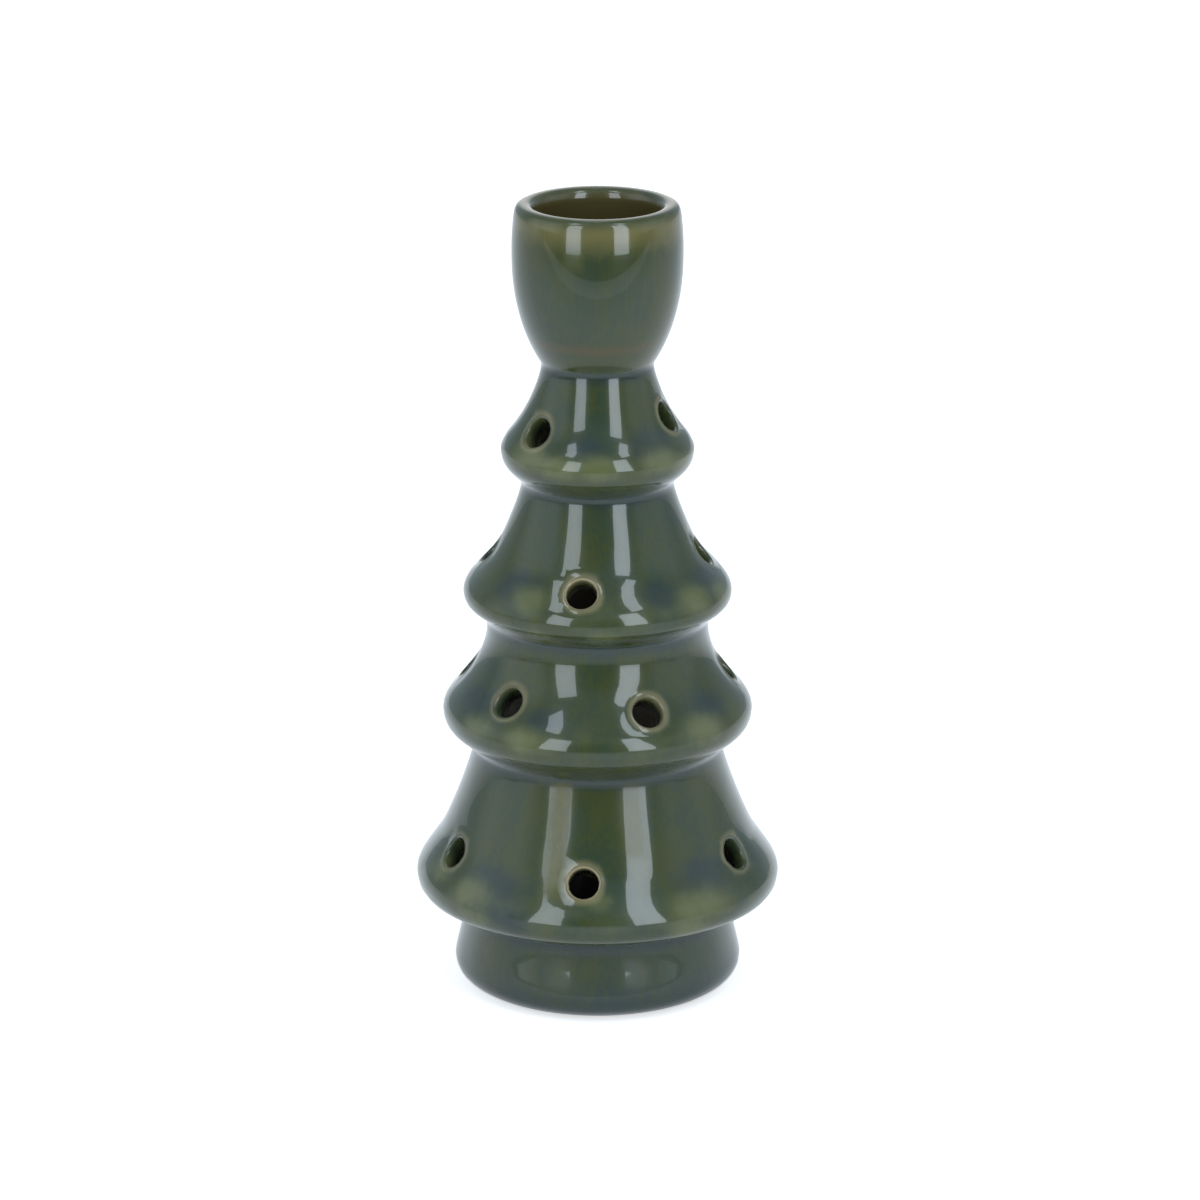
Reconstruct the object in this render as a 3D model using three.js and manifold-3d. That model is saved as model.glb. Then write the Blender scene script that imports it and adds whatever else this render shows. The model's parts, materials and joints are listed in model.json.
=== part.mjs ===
// A ceramic christmas tree that holds a candle in its top and a battery light in its foot.
// Millimetres, +Z up. The origin is on the table under the middle of the foot, and -Y is the front.
// The ceramic body is turned from one outline, hollowed by its own wall, and pierced with light holes.
// The battery light is a round plug that is pulled out of the foot from below.

import * as THREE from 'three';
import { mergeVertices } from 'three/addons/utils/BufferGeometryUtils.js';
import Module from 'manifold-3d';

const wasm = await Module();
wasm.setup();

// Ceramic wall and the steps round the turned body
const WALL = 4;
const BODY_STEPS = 36;
const CREASE_FILLET = 0.9;
const CAVITY_STEP = 6;
const CAVITY_FINENESS = 6;
const MERGE_DISTANCE = 1e-4;

// Foot: a flat ring on the table, a round heel and a nearly straight side up to the lowest crease
const FOOT_HEIGHT = 15.25;
const FOOT_RADIUS = 26.92;
const FOOT_RADIUS_HEIGHT = 5;
const FOOT_TOP_RADIUS = 24.65;
const FOOT_TOP_LEAN = 5;
const FOOT_RING_OUTER = 20.4;
const FOOT_EDGE_RISE = 24.8;

// Tiers from the lowest up. Rises are above the crease that the tier starts from, and leans and rises
// of a direction are in degrees.
const TIER_HEIGHTS = [31.75, 24.6, 26.5, 22.2];
const UNDERSIDE_WAYS = [33.5, 42.5, 48.5, 42];
const RIM_RADII = [34.05, 28.9, 24.95, 17.85];
const RIM_RISES = [6.55, 7, 5, 5.8];
const SHOULDER_RADII = [29.6, 25.45, 21.5, 16.2];
const SHOULDER_RISES = [14.05, 12.2, 10.3, 8.9];
const SHOULDER_LEANS = [27, 48.5, 51, 44.5];
const TOP_RADII = [23.25, 20.7, 14.1, 10.35];
const TOP_LEANS = [9.5, -3.8, 0, -5.6];

// Light holes of each tier: their angles from the front towards +X in degrees, and their rises
const HOLE_ANGLES = [
  [-64, -5, 60, 119, 178, 237],
  [-42, 22, 92, 149, 205, 262],
  [-8, 87, 175, 265],
  [-50, 73, 191],
];
const HOLE_RISES = [
  [14.15, 14.15, 14.55, 13.85, 14.05, 14.45],
  [13.6, 13.3, 14.2, 13.7, 13.4, 14],
  [10.7, 12.9, 11.6, 12.2],
  [11.3, 13, 12],
];

// How far each curve of the outline keeps to its first and to its last direction, as shares of its span
const HEEL_PULLS = [0.2, 0.52];
const FOOT_SIDE_PULLS = [0.16, 0.1];
const UNDERSIDE_PULLS = [0.41, 0.45];
const RIM_PULLS = [0.29, 0.26];
const FLARE_PULLS = [0.2, 0.22];
const CUP_PULLS = [0.14, 0.54];
const LIP_PULLS = [0.4, 0.4];
const CREST_PULLS = [0.5, 0.5];
const MOUTH_PULLS = [0.5, 0.4];

// Light holes, punched square to the surface, with a softened mouth
const HOLE_RADIUS = 2.75;
const HOLE_CHAMFER = 0.6;
const HOLE_SIDES = 12;

// Candle cup above the neck
const CUP_HEIGHT = 29.7;
const CUP_RADIUS = 15.7;
const CUP_RADIUS_RISE = 20;
const CUP_FLARE = 33;
const LIP_RADIUS = 15.35;
const LIP_HEIGHT = 2.6;
const LIP_LEAN = 6;
const LIP_CREST_RADIUS = 13.3;
const CANDLE_RADIUS = 11.5;
const CANDLE_FLOOR_RADIUS = 10.9;
const CANDLE_DEPTH = 24;
const CANDLE_FILLET = 1.5;
const CUP_FLOOR_THICKNESS = 5;

// Underside of the foot: a recess for the plug's flange and an opening through the ceramic floor
const RECESS_RADIUS = 18.4;
const RECESS_DEPTH = 3.6;
const OPENING_RADIUS = 16.2;
const FOOT_FLOOR_THICKNESS = 3.9;

// Gaps: one for pieces that move or are lifted out, one for pieces that are put together face to face
const CLEARANCE = 0.3;
const SNUG = 0.1;

// Battery light: base, housing and grip band
const UNIT_INSET = 0.8;
const FLANGE_CHAMFER = 0.4;
const LOCATING_RISE = 1;
const BARREL_INSET = 0.7;
const BARREL_WALL = 1.3;
const BARREL_CHAMFER = 0.5;
const ROOF_THICKNESS = 1.2;
const BAND_THICKNESS = 0.8;
const BAND_HEIGHT = 2.6;
const BAND_VALLEY = 0.3;
const UNIT_STEPS = 32;

// Button cells in a row along X, and their bay
const CELL_RADIUS = 5.8;
const CELL_HEIGHT = 5.4;
const CELL_COUNT = 3;
const CELL_CAP_RADIUS = 4.7;
const CELL_CAP_RISE = 0.3;
const CELL_EDGE = 0.3;
const CELL_STEPS = 24;
const BAY_WALL = 1;

// Contacts at the two ends of the row
const PLATE_THICKNESS = 0.3;
const PLATE_WIDTH = 8;
const PLATE_HEIGHT = 8.4;
const TAB_WIDTH = 2;
const SPRING_LENGTH = 2;
const SPRING_WIRE = 0.5;
const SPRING_LARGE_RADIUS = 3.8;
const SPRING_SMALL_RADIUS = 1.4;
const SPRING_TURNS = 2.5;

// Battery door on two stub pins at its -X end, with a captive screw at its +X end
const DOOR_THICKNESS = 1.8;
const DOOR_WIDTH = 14;
const DOOR_CORNER = 1.5;
const HINGE_OFFSET = 2.4;
const PIN_RADIUS = 0.45;
const PIN_LENGTH = 1.2;
const PIN_GAP = 0.2;
const DOOR_SCREW_OFFSET = 2.15;
const GRIP_GROOVES = 4;
const GRIP_GROOVE_PITCH = 1.4;
const GRIP_GROOVE_WIDTH = 0.6;
const GRIP_GROOVE_LENGTH = 7;
const GRIP_GROOVE_DEPTH = 0.3;

// Screws
const SHANK_RADIUS = 0.75;
const HEAD_RADIUS = 1.7;
const HEAD_HEIGHT = 0.8;
const HEAD_SINK = 0.1;
const HEAD_FACE_RADIUS = 1.35;
const HEAD_EDGE = 0.3;
const CROSS_WIDTH = 0.45;
const CROSS_LENGTH = 2;
const CROSS_DEPTH = 0.4;
const DOOR_SCREW_GRIP = 2.2;
const DOOR_BOSS_RISE = 4.4;
const HOUSING_SCREW_LENGTH = 9;
const HOUSING_SCREW_RING = 12.6;
const HOUSING_SCREW_ANGLE = 35.4;
const BOSS_WALL = 0.85;
const SCREW_STEPS = 16;

// Slide switch behind the cell bay, knob facing down
const SWITCH_LENGTH = 8.6;
const SWITCH_WIDTH = 3.7;
const SWITCH_HEIGHT = 3.5;
const SWITCH_WALL = 0.35;
const SWITCH_WEB = 0.8;
const SWITCH_TRAVEL = 2;
const SWITCH_PITCH = 2.5;
const WAFER_THICKNESS = 0.8;
const SWITCH_PIN_RADIUS = 0.3;
const SWITCH_PIN_RISE = 1.9;
const SWITCH_PIN_DROP = 0.6;
const KNOB_LENGTH = 1.8;
const KNOB_WIDTH = 1.4;
const SLIDER_LENGTH = 3.6;
const SLIDER_HEIGHT = 1.1;
const FINGER_RECESS = 1;

// Circuit board, light-emitting diode, resistor and wires
const BOARD_THICKNESS = 1;
const BOARD_GAP = 0.8;
const BOARD_FLAT = 7.8;
const BOARD_RIB = 0.9;
const BOARD_RIB_WIDTH = 0.8;
const BOARD_RIB_PLACE = 6;
const LED_RADIUS = 2.5;
const LED_HEIGHT = 8.6;
const LED_FLANGE_RADIUS = 2.9;
const LED_FLANGE_HEIGHT = 1;
const LED_STEPS = 20;
const LED_DOME_STEPS = 5;
const LEAD_RADIUS = 0.25;
const LEAD_PITCH = 2.54;
const LEAD_LENGTHS = [1.8, 1.5];
const RESISTOR_SIZE = [3.2, 1.6, 0.6];
const RESISTOR_CAP = 0.5;
const RESISTOR_PLACE = [-5.5, 3.5];
const WIRE_RADIUS = 0.45;
const WIRE_BOW = 0.9;
const WIRE_STEM = 1.2;
const WIRE_BOW_RISE = 4.3;
const WIRE_END = 1.9;
const WIRE_PLACES = [-4.5, 1.5];
const PIN_SIDES = 8;

// Each tier's own sizes together
const tiers = TIER_HEIGHTS.map((height, i) => ({
  height,
  undersideWay: UNDERSIDE_WAYS[i],
  rimRadius: RIM_RADII[i],
  rimRise: RIM_RISES[i],
  shoulderRadius: SHOULDER_RADII[i],
  shoulderRise: SHOULDER_RISES[i],
  shoulderLean: SHOULDER_LEANS[i],
  topRadius: TOP_RADII[i],
  topLean: TOP_LEANS[i],
  holes: HOLE_ANGLES[i].map((angle, k) => [angle, HOLE_RISES[i][k]]),
}));

// Heights above the table that follow from the sizes
const neckHeight = FOOT_HEIGHT + tiers.reduce((sum, tier) => sum + tier.height, 0);
const totalHeight = neckHeight + CUP_HEIGHT;
const candleFloor = totalHeight - CANDLE_DEPTH;
const cavityTop = candleFloor - CUP_FLOOR_THICKNESS;
const cavityFloor = RECESS_DEPTH + FOOT_FLOOR_THICKNESS;
const flangeTop = RECESS_DEPTH - CLEARANCE;
const discTop = flangeTop + LOCATING_RISE;
const doorTop = UNIT_INSET + DOOR_THICKNESS;
const rebateTop = doorTop + PIN_GAP;
const cellAxis = doorTop + CLEARANCE + CELL_RADIUS;
const bayCeiling = cellAxis + CELL_RADIUS + CLEARANCE;
const bayTop = bayCeiling + BAY_WALL;
const boardBottom = bayTop + BOARD_RIB + SNUG;
const boardTop = boardBottom + BOARD_THICKNESS;
const ledBase = boardTop + SNUG;
const roofUnderside = ledBase + LED_FLANGE_HEIGHT + CLEARANCE;
const roofTop = roofUnderside + ROOF_THICKNESS;

// Radii and lengths of the plug that follow from the ceramic opening and the cells
const flangeRadius = RECESS_RADIUS - CLEARANCE - PIN_GAP;
const barrelRadius = OPENING_RADIUS - BARREL_INSET;
const barrelInner = barrelRadius - BARREL_WALL;
const locatingRadius = barrelInner - CLEARANCE;
const bandOuter = OPENING_RADIUS - CLEARANCE;
const bandInner = bandOuter - BAND_THICKNESS;
const grooveRadius = bandInner - CLEARANCE;
const bandBottom = RECESS_DEPTH + (FOOT_FLOOR_THICKNESS - BAND_HEIGHT) / 2;
const bayHalfWidth = CELL_RADIUS + CLEARANCE;
const cellRow = CELL_COUNT * CELL_HEIGHT + (CELL_COUNT - 1) * SNUG;
const plateRoom = 2 * SNUG + PLATE_THICKNESS + SNUG;
const bayHalfLength = (cellRow + 2 * plateRoom + SPRING_LENGTH + SNUG) / 2;
const screwHole = SHANK_RADIUS + CLEARANCE;
const bossRadius = screwHole + BOSS_WALL;
const hingeX = -bayHalfLength - HINGE_OFFSET;
const hingeZ = UNIT_INSET + DOOR_THICKNESS / 2;
const doorScrewX = bayHalfLength + DOOR_SCREW_OFFSET;
const counterbore = HEAD_RADIUS + CLEARANCE;
const counterboreDepth = HEAD_SINK + HEAD_HEIGHT + CLEARANCE / 2;
const doorScrewLength = DOOR_THICKNESS + DOOR_SCREW_GRIP - HEAD_SINK - HEAD_HEIGHT;
const doorEndX = doorScrewX + counterbore + BOSS_WALL;
const switchReach = Math.sqrt(barrelInner ** 2 - (SWITCH_LENGTH / 2) ** 2);
const switchY = (bayHalfWidth + BAY_WALL + switchReach) / 2;
const switchBottom = UNIT_INSET + FINGER_RECESS + SWITCH_WEB + SNUG;
const switchTop = switchBottom + SWITCH_HEIGHT;
const plateX = bayHalfLength - 2 * SNUG - PLATE_THICKNESS / 2;
const boardRadius = barrelInner - BOARD_GAP;

// Solids: a closed mesh for the joins and cuts, and the way back to a geometry

function solid(geometry) {
  if (geometry instanceof wasm.Manifold) return geometry;
  const bare = geometry.clone();
  bare.deleteAttribute('normal');
  bare.deleteAttribute('uv');
  const whole = mergeVertices(bare, MERGE_DISTANCE);
  const corners = whole.index.array;
  const triangles = [];
  for (let i = 0; i < corners.length; i += 3) {
    const [a, b, c] = [corners[i], corners[i + 1], corners[i + 2]];
    if (a !== b && b !== c && c !== a) triangles.push(a, b, c);
  }
  const vertProperties = new Float32Array(whole.attributes.position.array);
  const triVerts = new Uint32Array(triangles);
  return new wasm.Manifold(new wasm.Mesh({ numProp: 3, vertProperties, triVerts }));
}

function join(...pieces) {
  return pieces.map(solid).reduce((whole, piece) => whole.add(piece));
}

function cut(body, ...tools) {
  return tools.map(solid).reduce((rest, tool) => rest.subtract(tool), solid(body));
}

function geometryOf(shape) {
  const mesh = solid(shape).getMesh();
  const geometry = new THREE.BufferGeometry();
  geometry.setAttribute('position', new THREE.BufferAttribute(new Float32Array(mesh.vertProperties), 3));
  geometry.setIndex(new THREE.BufferAttribute(new Uint32Array(mesh.triVerts), 1));
  geometry.computeVertexNormals();
  return geometry;
}

// Simple forms, all upright along +Z

function turned(points, steps) {
  return new THREE.LatheGeometry(points, steps).rotateX(Math.PI / 2);
}

function disc(radius, bottom, top, x = 0, y = 0, steps = SCREW_STEPS) {
  const cylinder = new THREE.CylinderGeometry(radius, radius, top - bottom, steps);
  return cylinder.rotateX(Math.PI / 2).translate(x, y, (bottom + top) / 2);
}

function block(x0, x1, y0, y1, z0, z1) {
  const box = new THREE.BoxGeometry(x1 - x0, y1 - y0, z1 - z0);
  return box.translate((x0 + x1) / 2, (y0 + y1) / 2, (z0 + z1) / 2);
}

function profilePoints(pairs) {
  return pairs.map(([radius, height]) => new THREE.Vector2(radius, height));
}

// Outline of the turned body, in the plane of radius and height

function upwards(lean) {
  const angle = THREE.MathUtils.degToRad(lean);
  return new THREE.Vector2(-Math.sin(angle), Math.cos(angle));
}

function outwards(rise) {
  const angle = THREE.MathUtils.degToRad(rise);
  return new THREE.Vector2(Math.cos(angle), Math.sin(angle));
}

function bend(start, startWay, end, endWay, [startPull, endPull]) {
  const span = start.distanceTo(end);
  const first = start.clone().addScaledVector(startWay, startPull * span);
  const second = end.clone().addScaledVector(endWay, -endPull * span);
  return new THREE.CubicBezierCurve(start, first, second, end);
}

function footCurves() {
  const ring = new THREE.Vector2(FOOT_RING_OUTER, 0);
  const heel = new THREE.Vector2(FOOT_RADIUS, FOOT_RADIUS_HEIGHT);
  const crease = new THREE.Vector2(FOOT_TOP_RADIUS, FOOT_HEIGHT);
  const top = crease.addScaledVector(upwards(FOOT_TOP_LEAN), -CREASE_FILLET);
  return [
    [bend(ring, outwards(FOOT_EDGE_RISE), heel, upwards(0), HEEL_PULLS), 4],
    [bend(heel, upwards(0), top, upwards(FOOT_TOP_LEAN), FOOT_SIDE_PULLS), 2],
  ];
}

function tierCurves(tier, crease, leanBelow) {
  const way = outwards(tier.undersideWay);
  const fromBelow = crease.clone().addScaledVector(upwards(leanBelow), -CREASE_FILLET);
  const underside = crease.clone().addScaledVector(way, CREASE_FILLET);
  const rim = new THREE.Vector2(tier.rimRadius, crease.y + tier.rimRise);
  const shoulder = new THREE.Vector2(tier.shoulderRadius, crease.y + tier.shoulderRise);
  const top = new THREE.Vector2(tier.topRadius, crease.y + tier.height);
  const last = tier === tiers.at(-1);
  const end = last ? top : top.clone().addScaledVector(upwards(tier.topLean), -CREASE_FILLET);
  return [
    [new THREE.QuadraticBezierCurve(fromBelow, crease, underside), 2],
    [bend(underside, way, rim, upwards(0), UNDERSIDE_PULLS), 3],
    [bend(rim, upwards(0), shoulder, upwards(tier.shoulderLean), RIM_PULLS), 2],
    [bend(shoulder, upwards(tier.shoulderLean), end, upwards(tier.topLean), FLARE_PULLS), 4],
  ];
}

function cupCurves() {
  const neck = new THREE.Vector2(tiers.at(-1).topRadius, neckHeight);
  const belly = new THREE.Vector2(CUP_RADIUS, neckHeight + CUP_RADIUS_RISE);
  const lip = new THREE.Vector2(LIP_RADIUS, totalHeight - LIP_HEIGHT);
  const crest = new THREE.Vector2(LIP_CREST_RADIUS, totalHeight);
  return [
    [bend(neck, upwards(-CUP_FLARE), belly, upwards(0), CUP_PULLS), 5],
    [bend(belly, upwards(0), lip, upwards(LIP_LEAN), LIP_PULLS), 2],
    [bend(lip, upwards(LIP_LEAN), crest, outwards(180), CREST_PULLS), 3],
  ];
}

function outsideProfile(fineness) {
  const curves = footCurves();
  const crease = new THREE.Vector2(FOOT_TOP_RADIUS, FOOT_HEIGHT);
  let leanBelow = FOOT_TOP_LEAN;
  for (const tier of tiers) {
    curves.push(...tierCurves(tier, crease.clone(), leanBelow));
    crease.set(tier.topRadius, crease.y + tier.height);
    leanBelow = tier.topLean;
  }
  curves.push(...cupCurves());
  const points = [new THREE.Vector2(FOOT_RING_OUTER, 0)];
  for (const [curve, steps] of curves) {
    points.push(...curve.getPoints(steps * fineness).slice(1));
  }
  return points;
}

const fineOutside = outsideProfile(CAVITY_FINENESS);

// The cavity keeps a full wall to every point of the outside, and closes in a dome under the cup.
function cavityRadius(height) {
  let radius = Infinity;
  for (const point of fineOutside) {
    const drop = Math.abs(point.y - height);
    if (drop < WALL) radius = Math.min(radius, point.x - Math.sqrt(WALL ** 2 - drop ** 2));
  }
  return radius;
}

function cavityProfile() {
  const neckRadius = cavityRadius(neckHeight);
  const domeStart = cavityTop - neckRadius;
  const domeSteps = 4;
  const points = [];
  for (let i = 0; i < domeSteps; i++) {
    const angle = (Math.PI / 2) * (i / domeSteps);
    const height = domeStart + neckRadius * Math.cos(angle);
    const radius = Math.min(neckRadius * Math.sin(angle), cavityRadius(height));
    points.push(new THREE.Vector2(Math.max(radius, 0), height));
  }
  const steps = Math.round((domeStart - cavityFloor) / CAVITY_STEP);
  for (let i = 0; i <= steps; i++) {
    const height = domeStart + (cavityFloor - domeStart) * (i / steps);
    points.push(new THREE.Vector2(cavityRadius(height), height));
  }
  return points;
}

function undersideProfile() {
  return profilePoints([
    [OPENING_RADIUS, cavityFloor],
    [OPENING_RADIUS, RECESS_DEPTH],
    [RECESS_RADIUS, RECESS_DEPTH],
    [RECESS_RADIUS, 0],
  ]);
}

function candleBoreProfile() {
  const crest = new THREE.Vector2(LIP_CREST_RADIUS, totalHeight);
  const mouth = new THREE.Vector2(CANDLE_RADIUS, totalHeight - LIP_HEIGHT);
  const corner = new THREE.Vector2(CANDLE_FLOOR_RADIUS, candleFloor);
  const wallEnd = new THREE.Vector2(CANDLE_FLOOR_RADIUS, candleFloor + CANDLE_FILLET);
  const floorEdge = new THREE.Vector2(CANDLE_FLOOR_RADIUS - CANDLE_FILLET, candleFloor);
  const curves = [
    [bend(crest, outwards(180), mouth, outwards(270), MOUTH_PULLS), 3],
    [new THREE.LineCurve(mouth, wallEnd), 1],
    [new THREE.QuadraticBezierCurve(wallEnd, corner, floorEdge), 2],
  ];
  const points = curves.flatMap(([curve, steps]) => curve.getPoints(steps).slice(1));
  return [...points, new THREE.Vector2(0, candleFloor)];
}

// A hole's tool is turned about its own axis, then laid square to the surface where the hole is.
function holeTool(angle, height) {
  const above = fineOutside.findIndex((point) => point.y > height);
  const low = fineOutside[above - 1];
  const high = fineOutside[above];
  const radius = THREE.MathUtils.mapLinear(height, low.y, high.y, low.x, high.x);
  const slope = high.clone().sub(low).normalize();
  const turn = THREE.MathUtils.degToRad(angle);
  const outward = new THREE.Vector3(Math.sin(turn), -Math.cos(turn), 0);
  const normal = outward.clone().multiplyScalar(slope.y).add(new THREE.Vector3(0, 0, -slope.x));
  const reach = 2 * WALL;
  const tool = turned(profilePoints([
    [0, -reach],
    [HOLE_RADIUS, -reach],
    [HOLE_RADIUS, -HOLE_CHAMFER],
    [HOLE_RADIUS + WALL, WALL - HOLE_CHAMFER],
    [0, WALL - HOLE_CHAMFER],
  ]), HOLE_SIDES);
  const up = new THREE.Vector3(0, 0, 1);
  tool.applyQuaternion(new THREE.Quaternion().setFromUnitVectors(up, normal));
  return tool.translate(outward.x * radius, outward.y * radius, height);
}

function treeBody() {
  const profile = [
    ...cavityProfile(),
    ...undersideProfile(),
    ...outsideProfile(1),
    ...candleBoreProfile(),
  ];
  const tools = [];
  let crease = FOOT_HEIGHT;
  for (const tier of tiers) {
    for (const [angle, rise] of tier.holes) tools.push(holeTool(angle, crease + rise));
    crease += tier.height;
  }
  return cut(turned(profile, BODY_STEPS), ...tools);
}

// Battery base: flange and locating disc, with the cell bay standing on it

const housingScrewPlaces = [-1, 1].map((side) => {
  const angle = THREE.MathUtils.degToRad(HOUSING_SCREW_ANGLE) * side;
  return [HOUSING_SCREW_RING * Math.sin(angle), -HOUSING_SCREW_RING * Math.cos(angle)];
});

function screwPassage(x, y, top) {
  return join(
    disc(counterbore, 0, UNIT_INSET + counterboreDepth, x, y),
    disc(screwHole, 0, top, x, y),
  );
}

function switchPassage() {
  const halfLength = SWITCH_LENGTH / 2 + CLEARANCE;
  const halfWidth = SWITCH_WIDTH / 2 + CLEARANCE;
  const slotLength = (KNOB_LENGTH + SWITCH_TRAVEL) / 2 + CLEARANCE;
  const slotWidth = KNOB_WIDTH / 2 + CLEARANCE;
  const [front, back] = [switchY - halfWidth, switchY + halfWidth];
  return join(
    block(-halfLength, halfLength, front, back, 0, UNIT_INSET + FINGER_RECESS),
    block(-slotLength, slotLength, switchY - slotWidth, switchY + slotWidth, 0, switchBottom),
    block(-halfLength, halfLength, front, back, switchBottom - SNUG, switchTop),
  );
}

function doorPassage() {
  const rebateHalf = DOOR_WIDTH / 2 + CLEARANCE;
  const hingeEnd = hingeX - DOOR_THICKNESS / 2 - CLEARANCE;
  const pinHalf = rebateHalf + PIN_LENGTH;
  const pinHole = disc(PIN_RADIUS + PIN_GAP, -pinHalf, pinHalf).rotateX(Math.PI / 2);
  return join(
    block(hingeEnd, doorEndX + CLEARANCE, -rebateHalf, rebateHalf, 0, rebateTop),
    pinHole.translate(hingeX, 0, hingeZ),
  );
}

function batteryBase() {
  const plate = turned(profilePoints([
    [0, UNIT_INSET],
    [flangeRadius - FLANGE_CHAMFER, UNIT_INSET],
    [flangeRadius, UNIT_INSET + FLANGE_CHAMFER],
    [flangeRadius, flangeTop],
    [locatingRadius, flangeTop],
    [locatingRadius, discTop],
    [0, discTop],
  ]), UNIT_STEPS);
  const outerLength = bayHalfLength + BAY_WALL;
  const outerWidth = bayHalfWidth + BAY_WALL;
  const bay = block(-outerLength, outerLength, -outerWidth, outerWidth, flangeTop, bayTop);
  const boss = disc(bossRadius, flangeTop, doorTop + DOOR_BOSS_RISE, doorScrewX, 0);
  const ribs = [-1, 1].map((side) => {
    const middle = side * BOARD_RIB_PLACE;
    const [low, high] = [middle - BOARD_RIB_WIDTH / 2, middle + BOARD_RIB_WIDTH / 2];
    return block(low, high, -bayHalfWidth, bayHalfWidth, bayCeiling + SNUG, bayTop + BOARD_RIB);
  });
  const tabSlots = [-1, 1].map((side) => tabSlot(side, bayCeiling - SNUG, bayTop + SNUG));
  return cut(
    join(plate, bay, boss, ...ribs),
    block(-bayHalfLength, bayHalfLength, -bayHalfWidth, bayHalfWidth, 0, bayCeiling),
    ...tabSlots,
    doorPassage(),
    disc(screwHole, 0, doorTop + DOOR_SCREW_GRIP + CLEARANCE, doorScrewX, 0),
    switchPassage(),
    ...housingScrewPlaces.map(([x, y]) => screwPassage(x, y, discTop + SNUG)),
  );
}

function tabSlot(side, bottom, top) {
  const halfDepth = PLATE_THICKNESS / 2 + 2 * SNUG;
  const halfWidth = TAB_WIDTH / 2 + CLEARANCE;
  const x = side * plateX;
  return block(x - halfDepth, x + halfDepth, -halfWidth, halfWidth, bottom, top);
}

// Housing: a barrel with a groove for the band, a roof with the light's hole and two screw posts

function lightHousing() {
  const bottom = flangeTop + SNUG;
  const grooveBottom = bandBottom - CLEARANCE;
  const grooveTop = bandBottom + BAND_HEIGHT + CLEARANCE;
  const ledHole = LED_RADIUS + CLEARANCE;
  const barrel = turned(profilePoints([
    [barrelInner, bottom],
    [barrelRadius, bottom],
    [barrelRadius, grooveBottom],
    [grooveRadius, grooveBottom],
    [grooveRadius, grooveTop],
    [barrelRadius, grooveTop],
    [barrelRadius, roofTop - BARREL_CHAMFER],
    [barrelRadius - BARREL_CHAMFER, roofTop],
    [ledHole, roofTop],
    [ledHole, roofUnderside],
    [barrelInner, roofUnderside],
    [barrelInner, bottom],
  ]), UNIT_STEPS);
  const postBottom = discTop + SNUG;
  const core = disc((barrelInner + grooveRadius) / 2, postBottom, roofTop - SNUG, 0, 0, UNIT_STEPS);
  const posts = housingScrewPlaces.map(([x, y]) => {
    return disc(bossRadius, postBottom, roofTop - SNUG, x, y);
  });
  const holeTop = UNIT_INSET + HEAD_SINK + HEAD_HEIGHT + HOUSING_SCREW_LENGTH + CLEARANCE;
  const holes = housingScrewPlaces.map(([x, y]) => disc(screwHole, 0, holeTop, x, y));
  return cut(join(barrel, ...posts.map((post) => solid(post).intersect(solid(core)))), ...holes);
}

function gripBand() {
  const top = bandBottom + BAND_HEIGHT;
  const rib = BAND_HEIGHT / 4;
  const valley = bandOuter - BAND_VALLEY;
  return turned(profilePoints([
    [bandInner, bandBottom],
    [valley, bandBottom],
    [bandOuter, bandBottom + rib],
    [valley, bandBottom + 2 * rib],
    [bandOuter, bandBottom + 3 * rib],
    [valley, top],
    [bandInner, top],
    [bandInner, bandBottom],
  ]), UNIT_STEPS);
}

// Battery door, hinged on the pins at its rounded end

function batteryDoor() {
  const half = DOOR_WIDTH / 2;
  const outline = new THREE.Shape();
  outline.moveTo(hingeX, -half);
  outline.lineTo(doorEndX - DOOR_CORNER, -half);
  outline.absarc(doorEndX - DOOR_CORNER, -half + DOOR_CORNER, DOOR_CORNER, -Math.PI / 2, 0);
  outline.lineTo(doorEndX, half - DOOR_CORNER);
  outline.absarc(doorEndX - DOOR_CORNER, half - DOOR_CORNER, DOOR_CORNER, 0, Math.PI / 2);
  outline.lineTo(hingeX, half);
  const options = { depth: DOOR_THICKNESS, bevelEnabled: false, curveSegments: 4 };
  const slab = new THREE.ExtrudeGeometry(outline, options).translate(0, 0, UNIT_INSET);
  const roundEnd = disc(DOOR_THICKNESS / 2, -half, half).rotateX(Math.PI / 2);
  const pins = disc(PIN_RADIUS, -half - PIN_LENGTH, half + PIN_LENGTH).rotateX(Math.PI / 2);
  const grooves = Array.from({ length: GRIP_GROOVES }, (_, i) => {
    const x = bayHalfLength - CELL_RADIUS - i * GRIP_GROOVE_PITCH;
    const halfLength = GRIP_GROOVE_LENGTH / 2;
    return block(x, x + GRIP_GROOVE_WIDTH, -halfLength, halfLength, 0, UNIT_INSET + GRIP_GROOVE_DEPTH);
  });
  return cut(
    join(slab, roundEnd.translate(hingeX, 0, hingeZ), pins.translate(hingeX, 0, hingeZ)),
    screwPassage(doorScrewX, 0, doorTop + SNUG),
    ...grooves,
  );
}

// Screws, heads down, and their crossed recess

function screw(length) {
  const headBottom = UNIT_INSET + HEAD_SINK;
  const headTop = headBottom + HEAD_HEIGHT;
  const tip = headTop + length;
  const body = turned(profilePoints([
    [0, headBottom],
    [HEAD_FACE_RADIUS, headBottom],
    [HEAD_RADIUS, headBottom + HEAD_EDGE],
    [HEAD_RADIUS, headTop],
    [SHANK_RADIUS, headTop],
    [SHANK_RADIUS, tip - SHANK_RADIUS / 2],
    [SHANK_RADIUS / 2, tip],
    [0, tip],
  ]), SCREW_STEPS);
  const [long, wide] = [CROSS_LENGTH / 2, CROSS_WIDTH / 2];
  return cut(
    body,
    block(-long, long, -wide, wide, 0, headBottom + CROSS_DEPTH),
    block(-wide, wide, -long, long, 0, headBottom + CROSS_DEPTH),
  );
}

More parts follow.
